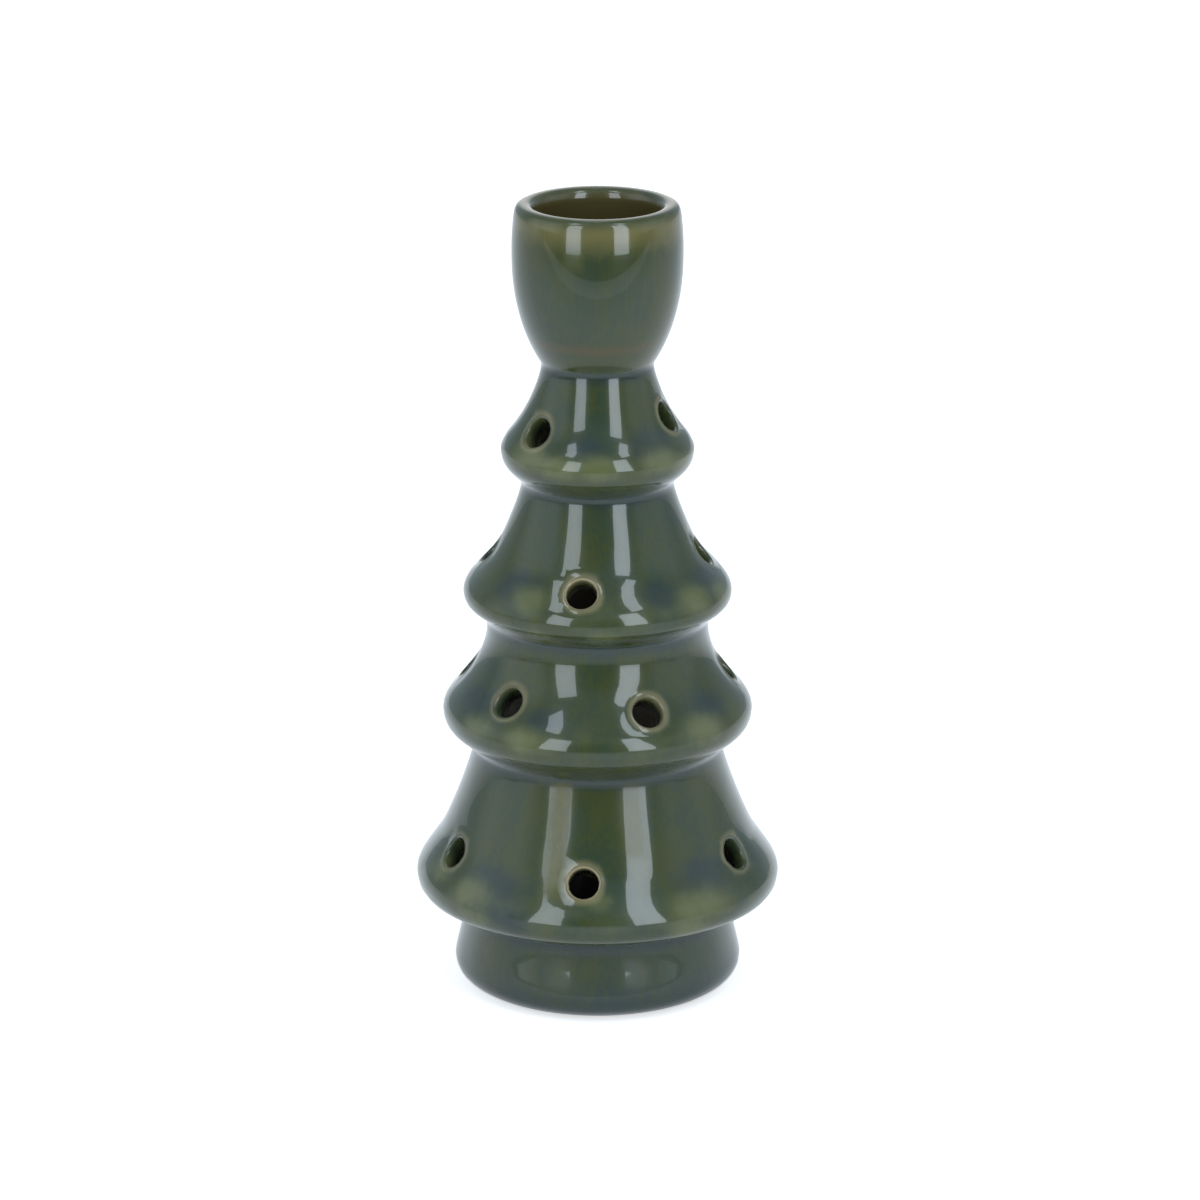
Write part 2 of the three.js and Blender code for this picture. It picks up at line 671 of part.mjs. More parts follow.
// Button cell, turned about its own axis and laid along X with its cap towards +X

function buttonCell() {
  const canTop = CELL_HEIGHT - CELL_CAP_RISE;
  const cell = turned(profilePoints([
    [0, 0],
    [CELL_RADIUS - CELL_EDGE, 0],
    [CELL_RADIUS, CELL_EDGE],
    [CELL_RADIUS, canTop - CELL_EDGE],
    [CELL_RADIUS - CELL_EDGE, canTop],
    [CELL_CAP_RADIUS + CELL_EDGE, canTop],
    [CELL_CAP_RADIUS, CELL_HEIGHT],
    [0, CELL_HEIGHT],
  ]), CELL_STEPS);
  return cell.rotateY(Math.PI / 2);
}

// End plates with a tab that goes up through the bay's ceiling and the board

function endPlate() {
  const half = PLATE_THICKNESS / 2;
  const plateTop = cellAxis + PLATE_HEIGHT / 2;
  return join(
    block(-half, half, -PLATE_WIDTH / 2, PLATE_WIDTH / 2, cellAxis - PLATE_HEIGHT / 2, plateTop),
    block(-half, half, -TAB_WIDTH / 2, TAB_WIDTH / 2, plateTop - SNUG, boardTop - SNUG),
  );
}

// Conical contact spring along X, large end on its plate

class ConeHelix extends THREE.Curve {
  getPoint(t) {
    const angle = 2 * Math.PI * SPRING_TURNS * t;
    const radius = THREE.MathUtils.lerp(SPRING_SMALL_RADIUS, SPRING_LARGE_RADIUS, t);
    const along = SPRING_WIRE / 2 + (SPRING_LENGTH - SPRING_WIRE) * t;
    return new THREE.Vector3(along, radius * Math.cos(angle), radius * Math.sin(angle));
  }
}

function tube(path, radius, sides, steps) {
  const section = new THREE.Shape();
  for (let i = 0; i < sides; i++) {
    const angle = (2 * Math.PI * i) / sides;
    const [x, y] = [radius * Math.cos(angle), radius * Math.sin(angle)];
    if (i === 0) section.moveTo(x, y);
    else section.lineTo(x, y);
  }
  return new THREE.ExtrudeGeometry(section, { steps, extrudePath: path, bevelEnabled: false });
}

function leastCoilGap(curve) {
  const perTurn = 40;
  const points = curve.getPoints(perTurn * SPRING_TURNS);
  let least = Infinity;
  for (let i = 0; i < points.length; i++) {
    for (let j = i + perTurn / 2; j < points.length; j++) {
      least = Math.min(least, points[i].distanceTo(points[j]) - SPRING_WIRE);
    }
  }
  return least;
}

function contactSpring() {
  const helix = new ConeHelix();
  console.log(`least gap between the spring's turns: ${leastCoilGap(helix).toFixed(2)} mm`);
  return tube(helix, SPRING_WIRE / 2, 6, Math.round(12 * SPRING_TURNS));
}

// Slide switch

function switchShell() {
  const [long, wide] = [SWITCH_LENGTH / 2, SWITCH_WIDTH / 2];
  const [innerLong, innerWide] = [long - SWITCH_WALL, wide - SWITCH_WALL];
  const slotLong = (KNOB_LENGTH + SWITCH_TRAVEL) / 2 + CLEARANCE;
  const slotWide = KNOB_WIDTH / 2 + CLEARANCE;
  const shell = cut(
    block(-long, long, -wide, wide, switchBottom, switchTop),
    block(-innerLong, innerLong, -innerWide, innerWide, switchBottom + SWITCH_WALL, switchTop + SNUG),
    block(-slotLong, slotLong, -slotWide, slotWide, 0, switchTop),
  );
  return geometryOf(shell).translate(0, switchY, 0);
}

const switchPinPlaces = [-1, 0, 1].map((step) => step * SWITCH_PITCH);

function switchWafer() {
  const long = SWITCH_LENGTH / 2 - SWITCH_WALL - SNUG;
  const wide = SWITCH_WIDTH / 2 - SWITCH_WALL - SNUG;
  const bottom = switchTop - WAFER_THICKNESS;
  const [hole, holeTop] = [SWITCH_PIN_RADIUS + SNUG, switchTop + SNUG];
  const holes = switchPinPlaces.map((x) => disc(hole, 0, holeTop, x, 0, PIN_SIDES));
  const wafer = cut(block(-long, long, -wide, wide, bottom, switchTop - SNUG), ...holes);
  return geometryOf(wafer).translate(0, switchY, 0);
}

function switchPin(x) {
  const bottom = switchTop - WAFER_THICKNESS - SWITCH_PIN_DROP;
  return disc(SWITCH_PIN_RADIUS, bottom, switchTop + SWITCH_PIN_RISE, x, switchY, PIN_SIDES);
}

function switchKnob() {
  const slideBottom = switchBottom + SWITCH_WALL + SNUG;
  const slideTop = slideBottom + SLIDER_HEIGHT;
  const slideWide = SWITCH_WIDTH / 2 - SWITCH_WALL - CLEARANCE;
  const tip = UNIT_INSET + 2 * SNUG;
  const [long, wide] = [KNOB_LENGTH / 2, KNOB_WIDTH / 2];
  const groove = KNOB_LENGTH / 6;
  const knob = cut(
    join(
      block(-SLIDER_LENGTH / 2, SLIDER_LENGTH / 2, -slideWide, slideWide, slideBottom, slideTop),
      block(-long, long, -wide, wide, tip, slideTop),
    ),
    block(-groove / 2, groove / 2, -KNOB_WIDTH, KNOB_WIDTH, 0, tip + groove),
  );
  return geometryOf(knob).translate(-SWITCH_TRAVEL / 2, switchY, 0);
}

// Circuit board: a disc with one flat edge, clear of the screw posts

const leadPlaces = [LEAD_PITCH / 2, -LEAD_PITCH / 2];

function circuitBoard() {
  const end = Math.acos(-BOARD_FLAT / boardRadius) - Math.PI / 2;
  const outline = new THREE.Shape();
  outline.absarc(0, 0, boardRadius, -end, Math.PI + end);
  const options = { depth: BOARD_THICKNESS, bevelEnabled: false, curveSegments: 30 };
  const board = new THREE.ExtrudeGeometry(outline, options).translate(0, 0, boardBottom);
  const [low, high] = [boardBottom - SNUG, boardTop + SNUG];
  return cut(
    board,
    ...leadPlaces.map((x) => disc(LEAD_RADIUS + 2 * SNUG, low, high, x, 0, PIN_SIDES)),
    ...WIRE_PLACES.map((x) => disc(WIRE_RADIUS + 2 * SNUG, low, high, x, switchY, PIN_SIDES)),
    ...[-1, 1].map((side) => tabSlot(side, low, high)),
  );
}

function lightDiode() {
  const shoulder = ledBase + LED_HEIGHT - LED_RADIUS;
  const points = profilePoints([
    [0, ledBase],
    [LED_FLANGE_RADIUS, ledBase],
    [LED_FLANGE_RADIUS, ledBase + LED_FLANGE_HEIGHT],
    [LED_RADIUS, ledBase + LED_FLANGE_HEIGHT],
  ]);
  for (let i = 0; i < LED_DOME_STEPS; i++) {
    const angle = (Math.PI / 2) * (i / LED_DOME_STEPS);
    points.push(new THREE.Vector2(LED_RADIUS * Math.cos(angle), shoulder + LED_RADIUS * Math.sin(angle)));
  }
  points.push(new THREE.Vector2(0, shoulder + LED_RADIUS));
  return turned(points, LED_STEPS);
}

function diodeLead(x, length) {
  return disc(LEAD_RADIUS, boardTop - length, boardTop, x, 0, PIN_SIDES);
}

function resistor() {
  const [length, width, height] = RESISTOR_SIZE;
  const [x, y] = RESISTOR_PLACE;
  const base = boardTop + SNUG;
  const [long, wide, inset] = [length / 2, width / 2, SNUG / 2];
  const middle = long - RESISTOR_CAP;
  const [core, side, top] = [middle + SNUG, wide - inset, base + height];
  return join(
    block(x - core, x + core, y - side, y + side, base, top - inset),
    block(x - long, x - middle, y - wide, y + wide, base, top),
    block(x + middle, x + long, y - wide, y + wide, base, top),
  );
}

// A wire from above a switch pin, up behind the bay and through its hole in the board

function wire(fromX, toX) {
  const bottom = switchTop + SWITCH_PIN_RISE + SNUG;
  const top = boardTop - SNUG;
  const bow = switchY + WIRE_BOW;
  const path = new THREE.CatmullRomCurve3([
    new THREE.Vector3(fromX, switchY, bottom),
    new THREE.Vector3(fromX, switchY, bottom + WIRE_STEM),
    new THREE.Vector3((fromX + toX) / 2, bow, bottom + WIRE_BOW_RISE),
    new THREE.Vector3(toX, switchY, top - WIRE_END),
    new THREE.Vector3(toX, switchY, top),
  ]);
  return tube(path, WIRE_RADIUS, PIN_SIDES, 12);
}

// The scene: every piece is its own named mesh

const candleHolder = new THREE.Group();
const lightUnit = new THREE.Group();
candleHolder.add(lightUnit);

function add(group, name, shape, color, roughness, metalness = 0) {
  const geometry = shape instanceof THREE.BufferGeometry ? shape : geometryOf(shape);
  const material = new THREE.MeshStandardMaterial({ color, roughness, metalness });
  const mesh = new THREE.Mesh(geometry, material);
  mesh.name = name;
  group.add(mesh);
  return mesh;
}

const GREEN_GLAZE = 0x56654c;
const GREY_SILICONE = 0x4a4a4c;
const STEEL = 0xb9bcc0;
const BLACK_PLASTIC = 0x1f1f21;
const RED_SLEEVE = 0xa82a22;
const WHITE_PLASTIC = 0xe4e2da;
const BROWN_LAMINATE = 0x6b4a2c;
const GREEN_BOARD = 0x2f6b3f;
const WARM_EPOXY = 0xf2e3ae;

add(candleHolder, 'tree_body', treeBody(), GREEN_GLAZE, 0.12);

add(lightUnit, 'battery_base', batteryBase(), BLACK_PLASTIC, 0.45);
add(lightUnit, 'light_housing', lightHousing(), BLACK_PLASTIC, 0.45);
add(lightUnit, 'grip_band', gripBand(), GREY_SILICONE, 0.6);
add(lightUnit, 'battery_door', batteryDoor(), BLACK_PLASTIC, 0.5);
const doorScrew = add(lightUnit, 'door_screw', screw(doorScrewLength), STEEL, 0.35, 1);
doorScrew.position.set(doorScrewX, 0, 0);

housingScrewPlaces.forEach(([x, y], i) => {
  const housingScrew = screw(HOUSING_SCREW_LENGTH);
  add(lightUnit, `housing_screw_${i + 1}`, housingScrew, STEEL, 0.35, 1).position.set(x, y, 0);
});

for (let i = 0; i < CELL_COUNT; i++) {
  const x = -bayHalfLength + plateRoom + i * (CELL_HEIGHT + SNUG);
  add(lightUnit, `battery_cell_${i + 1}`, buttonCell(), STEEL, 0.25, 1).position.set(x, 0, cellAxis);
}

add(lightUnit, 'contact_plate', endPlate(), STEEL, 0.3, 1).position.set(-plateX, 0, 0);
add(lightUnit, 'spring_plate', endPlate(), STEEL, 0.3, 1).position.set(plateX, 0, 0);
add(lightUnit, 'contact_spring', contactSpring(), STEEL, 0.3, 1)
  .position.set(bayHalfLength - plateRoom - SPRING_LENGTH, 0, cellAxis);

add(lightUnit, 'switch_shell', switchShell(), STEEL, 0.3, 1);
add(lightUnit, 'switch_wafer', switchWafer(), BROWN_LAMINATE, 0.7);
add(lightUnit, 'switch_knob', switchKnob(), WHITE_PLASTIC, 0.5);
switchPinPlaces.forEach((x, i) => {
  add(lightUnit, `switch_pin_${i + 1}`, switchPin(x), STEEL, 0.3, 1);
});

add(lightUnit, 'circuit_board', circuitBoard(), GREEN_BOARD, 0.5);
add(lightUnit, 'resistor', resistor(), BLACK_PLASTIC, 0.5);
add(lightUnit, 'led', lightDiode(), WARM_EPOXY, 0.15);
['led_lead_long', 'led_lead_short'].forEach((name, i) => {
  add(lightUnit, name, diodeLead(leadPlaces[i], LEAD_LENGTHS[i]), STEEL, 0.3, 1);
});
add(lightUnit, 'wire_black', wire(switchPinPlaces[0], WIRE_PLACES[0]), BLACK_PLASTIC, 0.5);
add(lightUnit, 'wire_red', wire(switchPinPlaces[1], WIRE_PLACES[1]), RED_SLEEVE, 0.5);

export default candleHolder;
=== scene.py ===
"""Ceramic christmas tree candle holder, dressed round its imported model.

The glazed tree is turned again from its outline with many more faces, with softly rounded light holes.
The battery light in its foot keeps its solids, and every piece has its finish.
The tree's sizes are in millimetres and are turned into metres where its mesh is made.
The studio's sizes are in metres.
"""

import json
import math

import bmesh
import bpy
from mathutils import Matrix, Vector


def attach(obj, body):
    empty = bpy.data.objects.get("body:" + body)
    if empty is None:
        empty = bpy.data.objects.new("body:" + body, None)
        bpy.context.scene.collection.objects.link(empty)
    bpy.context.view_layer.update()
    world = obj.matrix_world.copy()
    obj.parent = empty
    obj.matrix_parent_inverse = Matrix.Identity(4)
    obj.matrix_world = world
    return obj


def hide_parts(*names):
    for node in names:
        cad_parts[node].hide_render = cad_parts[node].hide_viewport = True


MM = 0.001

# Outline of the tree, in radius and height above the table
FOOT_HEIGHT = 15.25
FOOT_RADIUS = 26.92
FOOT_RADIUS_HEIGHT = 5
FOOT_TOP_RADIUS = 24.8
FOOT_TOP_LEAN = 9
FOOT_RING_OUTER = 20.4
FOOT_EDGE_RISE = 24.8
CREASE_FILLET = 0.9
CUP_HEIGHT = 29.7
CUP_RADIUS = 15.7
CUP_RADIUS_RISE = 20
CUP_FLARE = 33
LIP_RADIUS = 15.35
LIP_HEIGHT = 2.6
LIP_LEAN = 6
LIP_CREST_RADIUS = 13.3

# Rises count from the crease under the tier, leans are degrees from upright, and each hole is its
# angle from the front towards +X and its rise.
TIERS = [
    {
        "height": 31.75, "underside_rise": 33.5, "rim_radius": 34.05, "rim_rise": 6.45,
        "shoulder_radius": 29.75, "shoulder_rise": 14.05, "shoulder_lean": 34,
        "top_radius": 23.25, "top_lean": 9.5, "rim_pulls": (0.22, 0.62), "flare_pulls": (0.13, 0.23),
        "holes": [(-64, 14.15), (-5, 14.15), (60, 14.55), (119, 13.85), (178, 14.05), (237, 14.45)],
    },
    {
        "height": 24.6, "underside_rise": 42.5, "rim_radius": 28.9, "rim_rise": 7,
        "shoulder_radius": 25.75, "shoulder_rise": 12.15, "shoulder_lean": 39,
        "top_radius": 20.7, "top_lean": -3.8, "rim_pulls": (0.28, 0.37), "flare_pulls": (0.38, 0.36),
        "holes": [(-42, 13.6), (22, 13.3), (92, 14.2), (149, 13.7), (205, 13.4), (262, 14)],
    },
    {
        "height": 26.5, "underside_rise": 48.5, "rim_radius": 24.95, "rim_rise": 5.2,
        "shoulder_radius": 20.45, "shoulder_rise": 11.6, "shoulder_lean": 43,
        "top_radius": 14.1, "top_lean": 0, "rim_pulls": (0.22, 0.53), "flare_pulls": (0.31, 0.08),
        "holes": [(-8, 10.7), (87, 12.9), (175, 11.6), (265, 12.2)],
    },
    {
        "height": 22.2, "underside_rise": 42, "rim_radius": 17.85, "rim_rise": 6.05,
        "shoulder_radius": 16.25, "shoulder_rise": 9, "shoulder_lean": 40.5,
        "top_radius": 10.35, "top_lean": -5.6, "rim_pulls": (0.09, 0.45), "flare_pulls": (0.38, 0.14),
        "holes": [(-50, 11.3), (73, 13), (191, 12)],
    },
]

# Shares of its span for which each curve keeps to its first and its last direction
HEEL_PULLS = (0.2, 0.52)
FOOT_SIDE_PULLS = (0.1, 0.3)
UNDERSIDE_PULLS = (0.41, 0.45)
CUP_PULLS = (0.14, 0.54)
LIP_PULLS = (0.4, 0.4)
CREST_PULLS = (0.5, 0.5)
MOUTH_PULLS = (0.5, 0.4)

# Inside of the tree: the cavity, the cup's bore and the underside
WALL = 4
CAVITY_ROW = 1.5
CAVITY_FLOOR = 7.5
CAVITY_TOP = 121
CANDLE_RADIUS = 11.5
CANDLE_FLOOR = 126
CANDLE_FLOOR_RADIUS = 10.9
CANDLE_FILLET = 1.5
RECESS_RADIUS = 18.4
RECESS_DEPTH = 3.6
OPENING_RADIUS = 16.2
EDGE_ROUND = 0.35

# Turning: the columns round the axis, the points on the fine line for each row of faces, the steps of the
# cavity's dome, and an odd direction along which no two faces lie level
COLUMNS = 144
FINENESS = 8
DOME_STEPS = 8
SORTING_WAY = Vector((0.31, 0.57, 0.76))

# Light holes and their softened mouths: the radius of each ring and its depth under the glaze, how bare
# each ring is at the front and back, and the share of that at the sides, whose mouths are painted darker
# as painted shade. Round a mouth the turned grid is eased onto a circle, and the glaze sinks in a dimple and
# thins in a halo.
MOUTH_RADIUS = 3.6
MOUTH_RINGS = [(3.3, 0.06), (3.08, 0.19), (2.92, 0.4), (2.81, 0.75), (2.76, 1.4)]
MOUTH_BARENESS = [0.9, 0.97, 1.0, 0.93, 0.7]
SIDE_SHADE_SHARE = 0.45
SLOPE_STEP = 0.4
HOLE_RADIUS = 2.75
HOLE_EASE = 1.3
DIMPLE_DEPTH = 0.17
DIMPLE_WIDTH = 3.2
HALO_INNER = 3.2
HALO_OUTER = 5.4

# Reach of the glaze's thin band under the lip, of its blotches round a rim, of its pools and patches.
# The lip's crest loses a share of the thin band.
THIN_BAND = 10
CREST_SHARE = 0.6
RIM_BAND = 6
POOL_BAND = 3.4
FOOT_POOL = 15
PATCH_LENGTH = 1.5
PATCH_HEIGHT = 0.8

# Bare clay: its height on the foot's edge, how far it reaches past the ring, and the slack at a border
BARE_HEIGHT = 0.25
BARE_REACH = 1.5
SLACK = 1

# Patches where the glaze broke light and where it ran dark, for each tier: the angle from the front,
# the rise above the crease and the size. The unseen back has the same ones, turned half-way round.
LIGHT_PATCHES = [
    [(35, 8.9, 4.2), (30, 4.8, 3.5), (-45, 9.7, 3.5), (-65, 10.8, 3), (0, 11.4, 2), (-42, 5.7, 3)],
    [(44, 9, 3.8), (-28, 8.3, 3.2), (-51, 8.6, 3)],
    [(49, 7.4, 3.5), (69, 7.1, 2.5), (-34, 8.9, 3), (-27, 2.1, 2.5), (2, 2.8, 2.5)],
    [(-48, 7, 3.6), (-25, 6.1, 3), (1, 6.6, 3.2), (40, 6.7, 3.2), (61, 5.3, 3)],
]
DARK_PATCHES = [
    [(-39, 11.6, 5), (40, 13.1, 5), (-29, 6.9, 4)],
    [(-60, 11.6, 4), (-23, 11.8, 3), (51, 11.8, 4)],
    [(-43, 9.9, 4), (65, 9.5, 3.5), (31, 9.7, 3)],
    [(40, 9.3, 4), (-8, 9.6, 3)],
]

# Upright streaks where the glaze came out drier and shines less: the angle, the heights above the
# table between which it lies, its width and how much of the shine is lost
DRY_STREAKS = [(-16, 27, 46, 4, 1.0), (15, 34, 46, 4, 0.45), (-16, 142.4, 144.2, 4, 0.45)]

neck_height = FOOT_HEIGHT + sum(tier["height"] for tier in TIERS)
total_height = neck_height + CUP_HEIGHT


# Outline of the turned body

def upwards(lean):
    angle = math.radians(lean)
    return Vector((-math.sin(angle), math.cos(angle)))


def outwards(rise):
    angle = math.radians(rise)
    return Vector((math.cos(angle), math.sin(angle)))


def bend(start, start_way, end, end_way, pulls):
    span = (end - start).length
    return [start, start + start_way * pulls[0] * span, end - end_way * pulls[1] * span, end]


def along(controls, share):
    points = list(controls)
    while len(points) > 1:
        points = [a.lerp(b, share) for a, b in zip(points, points[1:])]
    return points[0]


def sampled(curve, steps):
    return [along(curve, (i + 1) / steps) for i in range(steps)]


def foot_curves():
    ring = Vector((FOOT_RING_OUTER, 0))
    heel = Vector((FOOT_RADIUS, FOOT_RADIUS_HEIGHT))
    top = Vector((FOOT_TOP_RADIUS, FOOT_HEIGHT)) - upwards(FOOT_TOP_LEAN) * CREASE_FILLET
    return [
        (bend(ring, outwards(FOOT_EDGE_RISE), heel, upwards(0), HEEL_PULLS), 9),
        (bend(heel, upwards(0), top, upwards(FOOT_TOP_LEAN), FOOT_SIDE_PULLS), 5),
    ]


def tier_curves(tier, crease, lean_below):
    way = outwards(tier["underside_rise"])
    from_below = crease - upwards(lean_below) * CREASE_FILLET
    underside = crease + way * CREASE_FILLET
    rim = Vector((tier["rim_radius"], crease.y + tier["rim_rise"]))
    shoulder = Vector((tier["shoulder_radius"], crease.y + tier["shoulder_rise"]))
    end = Vector((tier["top_radius"], crease.y + tier["height"]))
    if tier is not TIERS[-1]:
        end -= upwards(tier["top_lean"]) * CREASE_FILLET
    shoulder_way = upwards(tier["shoulder_lean"])
    return [
        ([from_below, crease, underside], 4),
        (bend(underside, way, rim, upwards(0), UNDERSIDE_PULLS), 7),
        (bend(rim, upwards(0), shoulder, shoulder_way, tier["rim_pulls"]), 6),
        (bend(shoulder, shoulder_way, end, upwards(tier["top_lean"]), tier["flare_pulls"]), 11),
    ]


def cup_curves():
    neck = Vector((TIERS[-1]["top_radius"], neck_height))
    belly = Vector((CUP_RADIUS, neck_height + CUP_RADIUS_RISE))
    lip = Vector((LIP_RADIUS, total_height - LIP_HEIGHT))
    crest = Vector((LIP_CREST_RADIUS, total_height))
    return [
        (bend(neck, upwards(-CUP_FLARE), belly, upwards(0), CUP_PULLS), 12),
        (bend(belly, upwards(0), lip, upwards(LIP_LEAN), LIP_PULLS), 4),
        (bend(lip, upwards(LIP_LEAN), crest, outwards(180), CREST_PULLS), 6),
    ]


def outside_line(fineness):
    """The outside from the foot's ring up to the crest of the lip."""
    curves = foot_curves()
    crease = Vector((FOOT_TOP_RADIUS, FOOT_HEIGHT))
    lean_below = FOOT_TOP_LEAN
    for tier in TIERS:
        curves += tier_curves(tier, crease, lean_below)
        crease = Vector((tier["top_radius"], crease.y + tier["height"]))
        lean_below = tier["top_lean"]
    curves += cup_curves()
    points = [Vector((FOOT_RING_OUTER, 0))]
    for curve, steps in curves:
        points += sampled(curve, steps * fineness)
    return points


def wall_radius(outside, height):
    """Radius inside which a full wall is left to every point of the outside."""
    radius = math.inf
    for point in outside:
        drop = abs(point.y - height)
        if drop < WALL:
            radius = min(radius, point.x - math.sqrt(WALL ** 2 - drop ** 2))
    return radius


def cavity_line(outside, fineness):
    """The cavity from the floor's edge up to the top of its dome."""
    neck = wall_radius(outside, neck_height)
    dome_start = CAVITY_TOP - neck
    steps = round((dome_start - CAVITY_FLOOR - EDGE_ROUND) / CAVITY_ROW) * fineness
    points = []
    for i in range(steps + 1):
        height = CAVITY_FLOOR + EDGE_ROUND + (dome_start - CAVITY_FLOOR - EDGE_ROUND) * i / steps
        points.append(Vector((wall_radius(outside, height), height)))
    steps = DOME_STEPS * fineness
    dome = [outwards(90 * (i + 1) / steps) * neck for i in range(steps)]
    for point in dome:
        height = dome_start + point.y
        points.append(Vector((min(point.x, wall_radius(outside, height)), height)))
    points[-1].x = 0
    return points


def bore_points():
    """The cup's inside from the middle of the candle's floor up to the crest of the lip."""
    crest = Vector((LIP_CREST_RADIUS, total_height))
    mouth = Vector((CANDLE_RADIUS, total_height - LIP_HEIGHT))
    corner = Vector((CANDLE_FLOOR_RADIUS, CANDLE_FLOOR))
    wall_end = corner + Vector((0, CANDLE_FILLET))
    floor_edge = corner - Vector((CANDLE_FILLET, 0))
    points = [Vector((0, CANDLE_FLOOR)), floor_edge.lerp(Vector((0, CANDLE_FLOOR)), 0.5), floor_edge]
    points += sampled([floor_edge, corner, wall_end], 4)
    points += sampled([wall_end, mouth], 10)
    points += sampled(bend(mouth, outwards(90), crest, outwards(0), MOUTH_PULLS[::-1]), 6)[:-1]
    return points


def rounded_corners(corners):
    """Each corner becomes an arc of three points, so that its edge shades softly."""
    points = []
    for before, corner, after in zip(corners, corners[1:], corners[2:]):
        start = corner + (before - corner).normalized() * EDGE_ROUND
        end = corner + (after - corner).normalized() * EDGE_ROUND
        points += [start, along([start, corner, end], 0.5), end]
    return points


def underside_points():
    """The foot's underside from the standing ring up to the cavity's floor."""
    corners = [
        (FOOT_RING_OUTER, 0), (RECESS_RADIUS, 0), (RECESS_RADIUS, RECESS_DEPTH),
        (OPENING_RADIUS, RECESS_DEPTH), (OPENING_RADIUS, CAVITY_FLOOR), (FOOT_RING_OUTER, CAVITY_FLOOR),
    ]
    return rounded_corners([Vector(corner) for corner in corners])


class Skin:
    """One turned wall of the ceramic: the fine line that it follows, and the first of its rows."""

    def __init__(self, line, first_row, direction):
        self.line = line
        self.first_row = first_row
        self.direction = direction
        self.reach = [0.0]
        for a, b in zip(line, line[1:]):
            self.reach.append(self.reach[-1] + (b - a).length)
        self.row_reach = self.reach[::FINENESS]

    def row(self, index):
        """Number of the chain's row for the index-th row of this wall."""
        return self.first_row + self.direction * index

    def at(self, reach):
        """Radius and height at a distance along the line."""
        low, high = 0, len(self.reach) - 1
        while high - low > 1:
            middle = (low + high) // 2
            if self.reach[middle] > reach:
                high = middle
            else:
                low = middle
        share = (reach - self.reach[low]) / (self.reach[high] - self.reach[low])
        return self.line[low].lerp(self.line[high], share)

    def reach_at(self, height):
        """Distance along the line at which it first passes a height."""
        above = next(i for i, point in enumerate(self.line) if point.y > height)
        low, high = self.line[above - 1], self.line[above]
        share = (height - low.y) / (high.y - low.y)
        return self.reach[above - 1] + share * (self.reach[above] - self.reach[above - 1])

    def nearest_row(self, reach):
        return min(range(len(self.row_reach)), key=lambda i: abs(self.row_reach[i] - reach))


def smooth(value):
    value = min(max(value, 0.0), 1.0)
    return value * value * (3 - 2 * value)


def on_wall(radius, height, angle):
    return Vector((radius * math.sin(angle), -radius * math.cos(angle), height)) * MM


# Light holes: a block of the turned grid eased onto a circle, opened, rounded and led to the cavity

class Hole:
    """A light hole's place on the outside, and the frame that its mouth is made in."""

    def __init__(self, skin, angle, height):
        self.angle = math.radians(angle)
        self.reach = skin.reach_at(height)
        place = skin.at(self.reach)
        slope = (skin.at(self.reach + SLOPE_STEP) - skin.at(self.reach - SLOPE_STEP)).normalized()
        outward = Vector((math.sin(self.angle), -math.cos(self.angle), 0))
        self.centre = on_wall(place.x, place.y, self.angle)
        self.across = Vector((math.cos(self.angle), math.sin(self.angle), 0))
        self.rise = outward * slope.x + Vector((0, 0, slope.y))
        self.normal = outward * slope.y - Vector((0, 0, slope.x))
        # Painted shade: a mouth's bare tan falls away towards the sides, so side mouths are darker than front
        # ones.
        self.tan_share = SIDE_SHADE_SHARE + (1 - SIDE_SHADE_SHARE) * math.cos(self.angle) ** 4

    def place_inside(self, skin):
        """Angle and distance along the inner wall at which the hole's axis comes out."""
        inner = self.centre - self.normal * WALL * MM
        return math.atan2(inner.x, -inner.y), skin.reach_at(inner.z / MM)


def circle_way(x, y):
    """Direction on a circle for a point on the edge of a square, evenly spread."""
    if abs(x) >= abs(y):
        angle = math.pi / 4 * y / x
        return math.cos(angle) * math.copysign(1, x), math.sin(angle) * math.copysign(1, x)
    angle = math.pi / 4 * x / y
    return math.sin(angle) * math.copysign(1, y), math.cos(angle) * math.copysign(1, y)


def ease_onto_circle(grid, skin, angle, reach, radius, cells=None):
    """Moves the turned grid round a place so that the edge of one square of it lies on a circle.

    Returns the points in that square and its size in cells."""
    column_angle = math.tau / COLUMNS
    wall = skin.at(reach)
    if cells is None:
        half_columns = max(1, round(radius / wall.x / column_angle))
        low = skin.nearest_row(reach - radius)
        high = skin.nearest_row(reach + radius)
        cells = (2 * half_columns, high - low)
    else:
        middle_row = skin.nearest_row(reach)
        low = middle_row - cells[1] // 2
        high = low + cells[1]
    middle = round(angle / column_angle)
    left, right = middle - cells[0] // 2, middle + cells[0] // 2
    half_across = (right - left) / 2 * column_angle * wall.x
    half_up = (skin.row_reach[high] - skin.row_reach[low]) / 2
    middle_up = (skin.row_reach[high] + skin.row_reach[low]) / 2
    reach_columns = math.ceil(cells[0] / 2 * (HOLE_EASE + 1))
    for index, row_reach in enumerate(skin.row_reach):
        y = (row_reach - middle_up) / half_up
        if abs(y) > 1 + HOLE_EASE:
            continue
        for column in range(middle - reach_columns, middle + reach_columns + 1):
            x = (column - middle) * column_angle * wall.x / half_across
            size = max(abs(x), abs(y))
            if size < 1 - 1e-6 or size > 1 + HOLE_EASE:
                continue
            way = circle_way(x / size, y / size)
            ease = 1 - smooth((size - 1) / HOLE_EASE)
            centre_shift = (angle - middle * column_angle) * wall.x
            across = (way[0] * radius + centre_shift - x / size * half_across) * ease
            up = (way[1] * radius + reach - middle_up - y / size * half_up) * ease
            place = skin.at(row_reach + up)
            vert = grid[skin.row(index), column % COLUMNS]
            vert.co = on_wall(place.x, place.y, column * column_angle + across / wall.x)
    inside = [
        grid[skin.row(index), column % COLUMNS]
        for index in range(low, high + 1)
        for column in range(left, right + 1)
    ]
    return inside, cells


